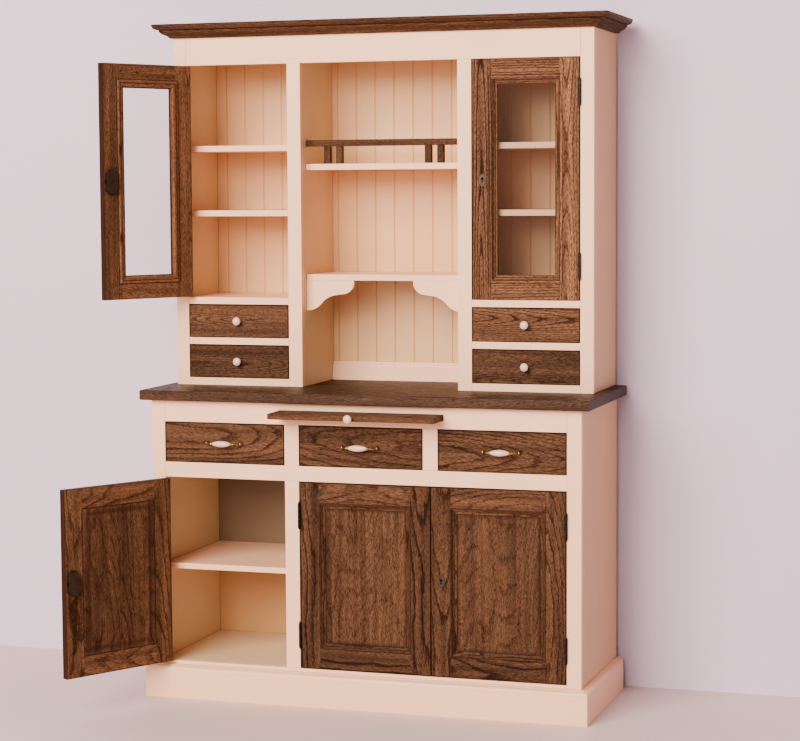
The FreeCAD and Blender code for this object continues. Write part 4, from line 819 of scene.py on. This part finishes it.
class BUFFET_OT_stain_tops(bpy.types.Operator):
    """Stains the worktop, the cornice, the pull-out board and the gallery rail"""

    bl_idname = "buffet.stain_tops"
    bl_label = "Stain the worktop and cornice"

    def execute(self, context):
        low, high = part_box("worktop")
        worktop = stained_oak(
            "stained oak, worktop",
            WORKTOP_SEED,
            "top",
            limit=low.y + sizes().easing,
            tone=TONES["worktop"],
            edge_over_shaded_top=WORKTOP_EDGE_OVER_SHADED_TOP,
            sheen=WORKTOP_SHEEN,
        )
        coat("worktop", worktop)
        low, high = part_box("cornice_boards")
        stile_low, stile_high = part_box("upper_frame_stiles")
        corner = (stile_high.x, stile_low.y)
        centre = (0, (low.z + high.z) / 2)
        cornice = stained_oak(
            "stained oak, cornice",
            CORNICE_SEED,
            "cornice",
            centre,
            corner,
            limit=low.z + CORNICE_STEP,
            corners=((0.0, sizes().wax_and_shade_width, CORNICE_STEP_SHADOW),),
            tone=TONES["cornice"],
        )
        coat("cornice_boards", cornice)
        ease_edges("cornice_boards", sizes().easing * CORNICE_EASING)
        tone = TONES["pull_out_board"]
        coat("pull_out_board", stained_oak("stained oak, board", BOARD_SEED, "top", tone=tone))
        low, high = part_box("gallery_rail")
        gallery = stained_oak(
            "stained oak, gallery",
            GALLERY_SEED,
            "gallery",
            (0, high.z),
            limit=high.z - GALLERY_BAR,
            tone=TONES["gallery"],
        )
        coat("gallery_rail", gallery)
        ease_edges("gallery_rail", sizes().easing)
        return {"FINISHED"}


# The darker cream of the sides and of the inside, painted shade, parts this far within the outer faces
INSIDE_MARGIN = 0.003


class BUFFET_OT_paint_carcass(bpy.types.Operator):
    """Paints the carcass, shelves, frames and plinth"""

    bl_idname = "buffet.paint_carcass"
    bl_label = "Paint the carcass"

    def execute(self, context):
        tint = colours()
        plain = cream_paint("cream satin paint")
        cases = {}
        for unit, side in (("base", "base_uprights"), ("upper", "upper_sides")):
            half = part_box(side)[1].x - INSIDE_MARGIN
            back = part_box(unit + "_frame_stiles")[1].y - INSIDE_MARGIN
            # Each unit's back and sides inside take darker copies of the cream: painted shade
            inner = tint.base_back if unit == "base" else tint.cream_shaded_back
            for part, inside in (("back", inner), ("sides", tint.cream_shaded_inside)):
                name = f"cream satin paint, {unit} {part}"
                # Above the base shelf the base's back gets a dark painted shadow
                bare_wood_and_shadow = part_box("base_shelves")[1].z if (unit, part) == ("base", "back") else None
                cases[unit, part] = cream_paint(name, half, back, inside, bare_wood_and_shadow)
        for row in frame["record"]["subparts"]:
            node = row["node"]
            if row["material_slot"] == "cream_paint":
                unit = node.split("_")[0]
                part = "back" if "back" in node else "sides"
                cased = unit in ("base", "upper") and "shelves" not in node and "frame" not in node
                coat(node, cases[unit, part] if cased else plain)
                ease_edges(node, sizes().easing)
        return {"FINISHED"}


class BUFFET_OT_fit_ironwork(bpy.types.Operator):
    """Blackens the hinges, locks and bolts"""

    bl_idname = "buffet.fit_ironwork"
    bl_label = "Fit the ironwork"

    def execute(self, context):
        tint = colours()
        black = (tint.iron, tint.iron_worn, IRON_FINISH)
        iron = worn_metal("blackened iron", *black)
        for row in frame["record"]["subparts"]:
            if row["material_slot"] == "dark_iron":
                body = row["node"].removesuffix("_ironwork")
                metal = iron
                if body in frame["bodies"] and body != row["node"]:
                    name = f"blackened iron, {body}"
                    metal = worn_metal(name, *black, tint.lock, *open_turn(body))
                coat(row["node"], metal)
                ease_edges(row["node"], sizes().metal_easing)
        return {"FINISHED"}


# The share of what is behind a pane that its dark film of painted shade hides, most on the shut door
PANE_PAINTED_SHADES = {"upper_left_door_glass": 0.05, "upper_right_door_glass": 0.15}


class BUFFET_OT_fit_glass(bpy.types.Operator):
    """Fits the panes of the upper doors"""

    bl_idname = "buffet.fit_glass"
    bl_label = "Fit the glass"

    def execute(self, context):
        for node, share in PANE_PAINTED_SHADES.items():
            coat(node, window_glass(f"clear glass, {node}", share))
        return {"FINISHED"}


# A knob's section, from its foot to its crown: shares of its radius and of its projection
KNOB_SHARES = (
    (0.60, 0.00), (0.62, 0.05), (0.56, 0.12), (0.42, 0.22), (0.41, 0.32), (0.52, 0.43), (0.80, 0.51),
    (0.96, 0.60), (1.00, 0.70), (0.96, 0.80), (0.80, 0.91), (0.46, 0.98), (0.16, 1.00),
)


class BUFFET_OT_turn_knobs(bpy.types.Operator):
    """Turns the porcelain knobs"""

    bl_idname = "buffet.turn_knobs"
    bl_label = "Turn the knobs"

    def execute(self, context):
        china = crackled_porcelain("crackled porcelain, knobs")
        for node in sorted(n for n in frame["nodes"] if n.endswith("_knob")):
            low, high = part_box(node)
            foot = ((low.x + high.x) / 2, high.y, (low.z + high.z) / 2)
            radius, projection = (high.x - low.x) / 2, high.y - low.y
            rings = [(radius * wide, projection * rise) for wide, rise in KNOB_SHARES]
            turn_on_lathe(foot, (0, -1, 0), rings, 32)
            settle(node + "_turned", china, node.removesuffix("_knob"), [node])
        return {"FINISHED"}


# A grip's section, as shares of its half length from its middle and of its swell
GRIP_SHARES = (
    (-1.0, 0.0), (-0.93, 0.20), (-0.75, 0.47), (-0.5, 0.76), (-0.25, 0.94), (0.0, 1.0), (0.25, 0.94),
    (0.5, 0.76), (0.75, 0.47), (0.93, 0.20), (1.0, 0.0),
)
# A ball foot's section: shares of its radius and of its height
BALL_SHARES = (
    (0.66, 0.0), (0.86, 0.12), (1.0, 0.36), (0.96, 0.58), (0.76, 0.78), (0.46, 0.94), (0.30, 1.0),
)
# A ferrule's section: shares of its radius and of its length
FERRULE_SHARES = (
    (0.92, 0.0), (1.0, 0.2), (0.96, 0.4), (0.74, 0.5), (0.88, 0.62), (0.72, 0.82), (0.5, 1.0),
)
# The bow's radius, the ferrules' radius and length, a grip's radius at its ends, and the share of
# the solid grip's length that the turned one takes up
ROD_RADIUS, FERRULE_RADIUS, FERRULE_LENGTH, GRIP_END, GRIP_LENGTH = 0.0026, 0.005, 0.006, 0.003, 0.9999


class BUFFET_OT_make_handles(bpy.types.Operator):
    """Makes the bow handles: a brass bow on ball feet, through a porcelain grip"""

    bl_idname = "buffet.make_handles"
    bl_label = "Make the bow handles"

    def execute(self, context):
        tint = colours()
        china = crackled_porcelain("crackled porcelain, grips")
        brass = worn_metal("aged brass", tint.brass, tint.brass_worn, BRASS_FINISH)
        collar = [(FERRULE_RADIUS * wide, FERRULE_LENGTH * rise) for wide, rise in FERRULE_SHARES]
        for node in sorted(n for n in frame["nodes"] if n.endswith("_drawer_handle")):
            body = node.removesuffix("_handle")
            low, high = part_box(node)
            grip_low, grip_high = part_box(node + "_grip")
            middle = (low.z + high.z) / 2
            centre = (low.x + high.x) / 2
            face, ball = high.y, (high.z - low.z) / 2
            out = face - (grip_low.y + grip_high.y) / 2
            span = (high.x - low.x) / 2 - ball
            start_fresh()
            start = (centre - span, face, middle)
            bpy.ops.mesh.primitive_circle_add(
                vertices=16, radius=ROD_RADIUS, location=start, rotation=(math.pi / 2, 0, 0)
            )
            bpy.ops.object.mode_set(mode="EDIT")
            bend = {"steps": 10, "axis": (0, 0, 1), "dupli": False, "use_auto_merge": False}
            left = (centre - span + out, face, middle)
            bpy.ops.mesh.spin(angle=-math.pi / 2, center=left, **bend)
            run = (span - out) * 2
            bpy.ops.mesh.extrude_region_move(TRANSFORM_OT_translate={"value": (run, 0, 0)})
            right = (centre + span - out, face, middle)
            bpy.ops.mesh.spin(angle=-math.pi / 2, center=right, **bend)
            bpy.ops.mesh.select_all(action="SELECT")
            bpy.ops.mesh.remove_doubles(threshold=0.00001)
            bpy.ops.mesh.normals_make_consistent(inside=False)
            bpy.ops.object.mode_set(mode="OBJECT")
            bpy.ops.object.shade_smooth_by_angle(angle=math.radians(60))
            parts = [bpy.context.object]
            half = (grip_high.x - grip_low.x) / 2
            foot = [(ball * wide, ball * 2 * rise) for wide, rise in BALL_SHARES]
            for side in (-1, 1):
                start = (centre + span * side, face, middle)
                parts.append(turn_on_lathe(start, (0, -1, 0), foot, 24))
                start = (centre + half * side, face - out, middle)
                parts.append(turn_on_lathe(start, (side, 0, 0), collar, 20))
            start_fresh()
            for part in parts:
                part.select_set(True)
            bpy.context.view_layer.objects.active = parts[0]
            bpy.ops.object.join()
            settle(node + "_bow", brass, body, [node])
            swell = (grip_high.z - grip_low.z) / 2
            rings = [
                (GRIP_END + (swell - GRIP_END) * wide, half * (1 + place) * GRIP_LENGTH)
                for place, wide in GRIP_SHARES
            ]
            turn_on_lathe((centre - half, face - out, middle), (1, 0, 0), rings, 32)
            settle(node + "_barrel", china, body, [node + "_grip"])
        return {"FINISHED"}


# The lamps' names, places, widths and powers, what they face, and the strength of the room's light
LAMPS = (
    ("soft_box_left", (-2.4, -8.2, 5.2), 5.5, 1900),
    ("soft_box_front", (0.5, -8.4, 3.0), 3.0, 420),
)
LAMP_TARGET, ROOM_STRENGTH = (0, 0, 1.0), 0.13
# The camera's place, its yaw, pitch and roll in degrees, and its lens, as the photo's edges give them
CAMERA_PLACE, CAMERA_TURNS, CAMERA_LENS = (1.930, -5.859, 1.442), (-17.80, -4.74, -0.33), 97.96


def lay_surface(name, place, tilt, size, shade, roughness):
    """A flat, matt surface of the stage."""
    bpy.ops.mesh.primitive_plane_add(size=1, location=place, rotation=(tilt, 0, 0))
    surface = bpy.context.object
    surface.scale = size
    bpy.ops.object.transform_apply(location=True, rotation=True, scale=True)
    surface.name = "stage_" + name
    material, tree, output = new_material("matt " + name)
    plain = add(tree, "BsdfPrincipled", {"Base Color": shade, "Roughness": roughness})
    tree.links.new(plain.outputs[0], output.inputs[0])
    surface.data.materials.append(material)
    return surface


def place_lamp(name, place, width, power):
    """A soft box that faces the cabinet."""
    bpy.ops.object.light_add(type="AREA", location=place)
    lamp = bpy.context.object
    lamp.name = name
    lamp.data.size = width
    lamp.data.energy = power
    lamp.data.color = colours().lamp[:3]
    facing = Vector(LAMP_TARGET) - Vector(place)
    lamp.rotation_euler = facing.to_track_quat("-Z", "Y").to_euler()


class BUFFET_OT_set_stage(bpy.types.Operator):
    """Sets the floor, the backdrop, the lights and the camera"""

    bl_idname = "buffet.set_stage"
    bl_label = "Set the stage"

    def execute(self, context):
        tint = colours()
        start_fresh()
        floor = lay_surface("floor", (0, -6.0, 0), 0, (24, 12.56, 1), tint.floor, 0.55)
        wall = lay_surface("wall", (0, 0.28, 4), math.pi / 2, (24, 8, 1), tint.wall, 0.9)

        for lamp in LAMPS:
            place_lamp(*lamp)

        world = bpy.data.worlds.new("soft room light")
        context.scene.world = world
        world.use_nodes = True
        sky = world.node_tree.nodes["Background"]
        sky.inputs["Color"].default_value = tint.room
        sky.inputs["Strength"].default_value = ROOM_STRENGTH

        yaw, pitch, roll = (math.radians(angle) for angle in CAMERA_TURNS)
        ahead = Vector(
            (math.sin(yaw) * math.cos(pitch), math.cos(yaw) * math.cos(pitch), math.sin(pitch))
        )
        right = Vector((math.cos(yaw), -math.sin(yaw), 0))
        up = right.cross(ahead)
        across = right * math.cos(roll) + up * math.sin(roll)
        upward = -right * math.sin(roll) + up * math.cos(roll)
        bpy.ops.object.camera_add(location=CAMERA_PLACE)
        camera = context.object
        camera.name = "camera"
        camera.rotation_euler = Matrix((across, upward, -ahead)).transposed().to_euler()
        camera.data.sensor_width = 36
        camera.data.lens = CAMERA_LENS
        camera.data.clip_end = 100
        context.scene.camera = camera
        return {"FINISHED"}


OPERATORS = (
    BUFFET_OT_stain_doors,
    BUFFET_OT_stain_drawers,
    BUFFET_OT_stain_tops,
    BUFFET_OT_paint_carcass,
    BUFFET_OT_fit_ironwork,
    BUFFET_OT_fit_glass,
    BUFFET_OT_turn_knobs,
    BUFFET_OT_make_handles,
    BUFFET_OT_set_stage,
)


class BUFFET_PT_panel(bpy.types.Panel):
    """Lists the steps and their sizes and colours"""

    bl_label = "Kitchen buffet"
    bl_idname = "BUFFET_PT_panel"
    bl_space_type = "VIEW_3D"
    bl_region_type = "UI"
    bl_category = "Buffet"

    def draw(self, context):
        layout = self.layout
        for group in (context.scene.buffet_sizes, context.scene.buffet_colours):
            for name in group.__annotations__:
                layout.prop(group, name)
        for operator in OPERATORS:
            layout.operator(operator.bl_idname)


CLASSES = (BuffetSizes, BuffetColours, *OPERATORS, BUFFET_PT_panel)


def register():
    for item in CLASSES:
        bpy.utils.register_class(item)
    bpy.types.Scene.buffet_sizes = bpy.props.PointerProperty(type=BuffetSizes)
    bpy.types.Scene.buffet_colours = bpy.props.PointerProperty(type=BuffetColours)


def unregister():
    del bpy.types.Scene.buffet_colours
    del bpy.types.Scene.buffet_sizes
    for item in reversed(CLASSES):
        bpy.utils.unregister_class(item)


def main():
    register()
    for operator in OPERATORS:
        group, step = operator.bl_idname.split(".")
        getattr(getattr(bpy.ops, group), step)()


if __name__ == "__main__":
    main()
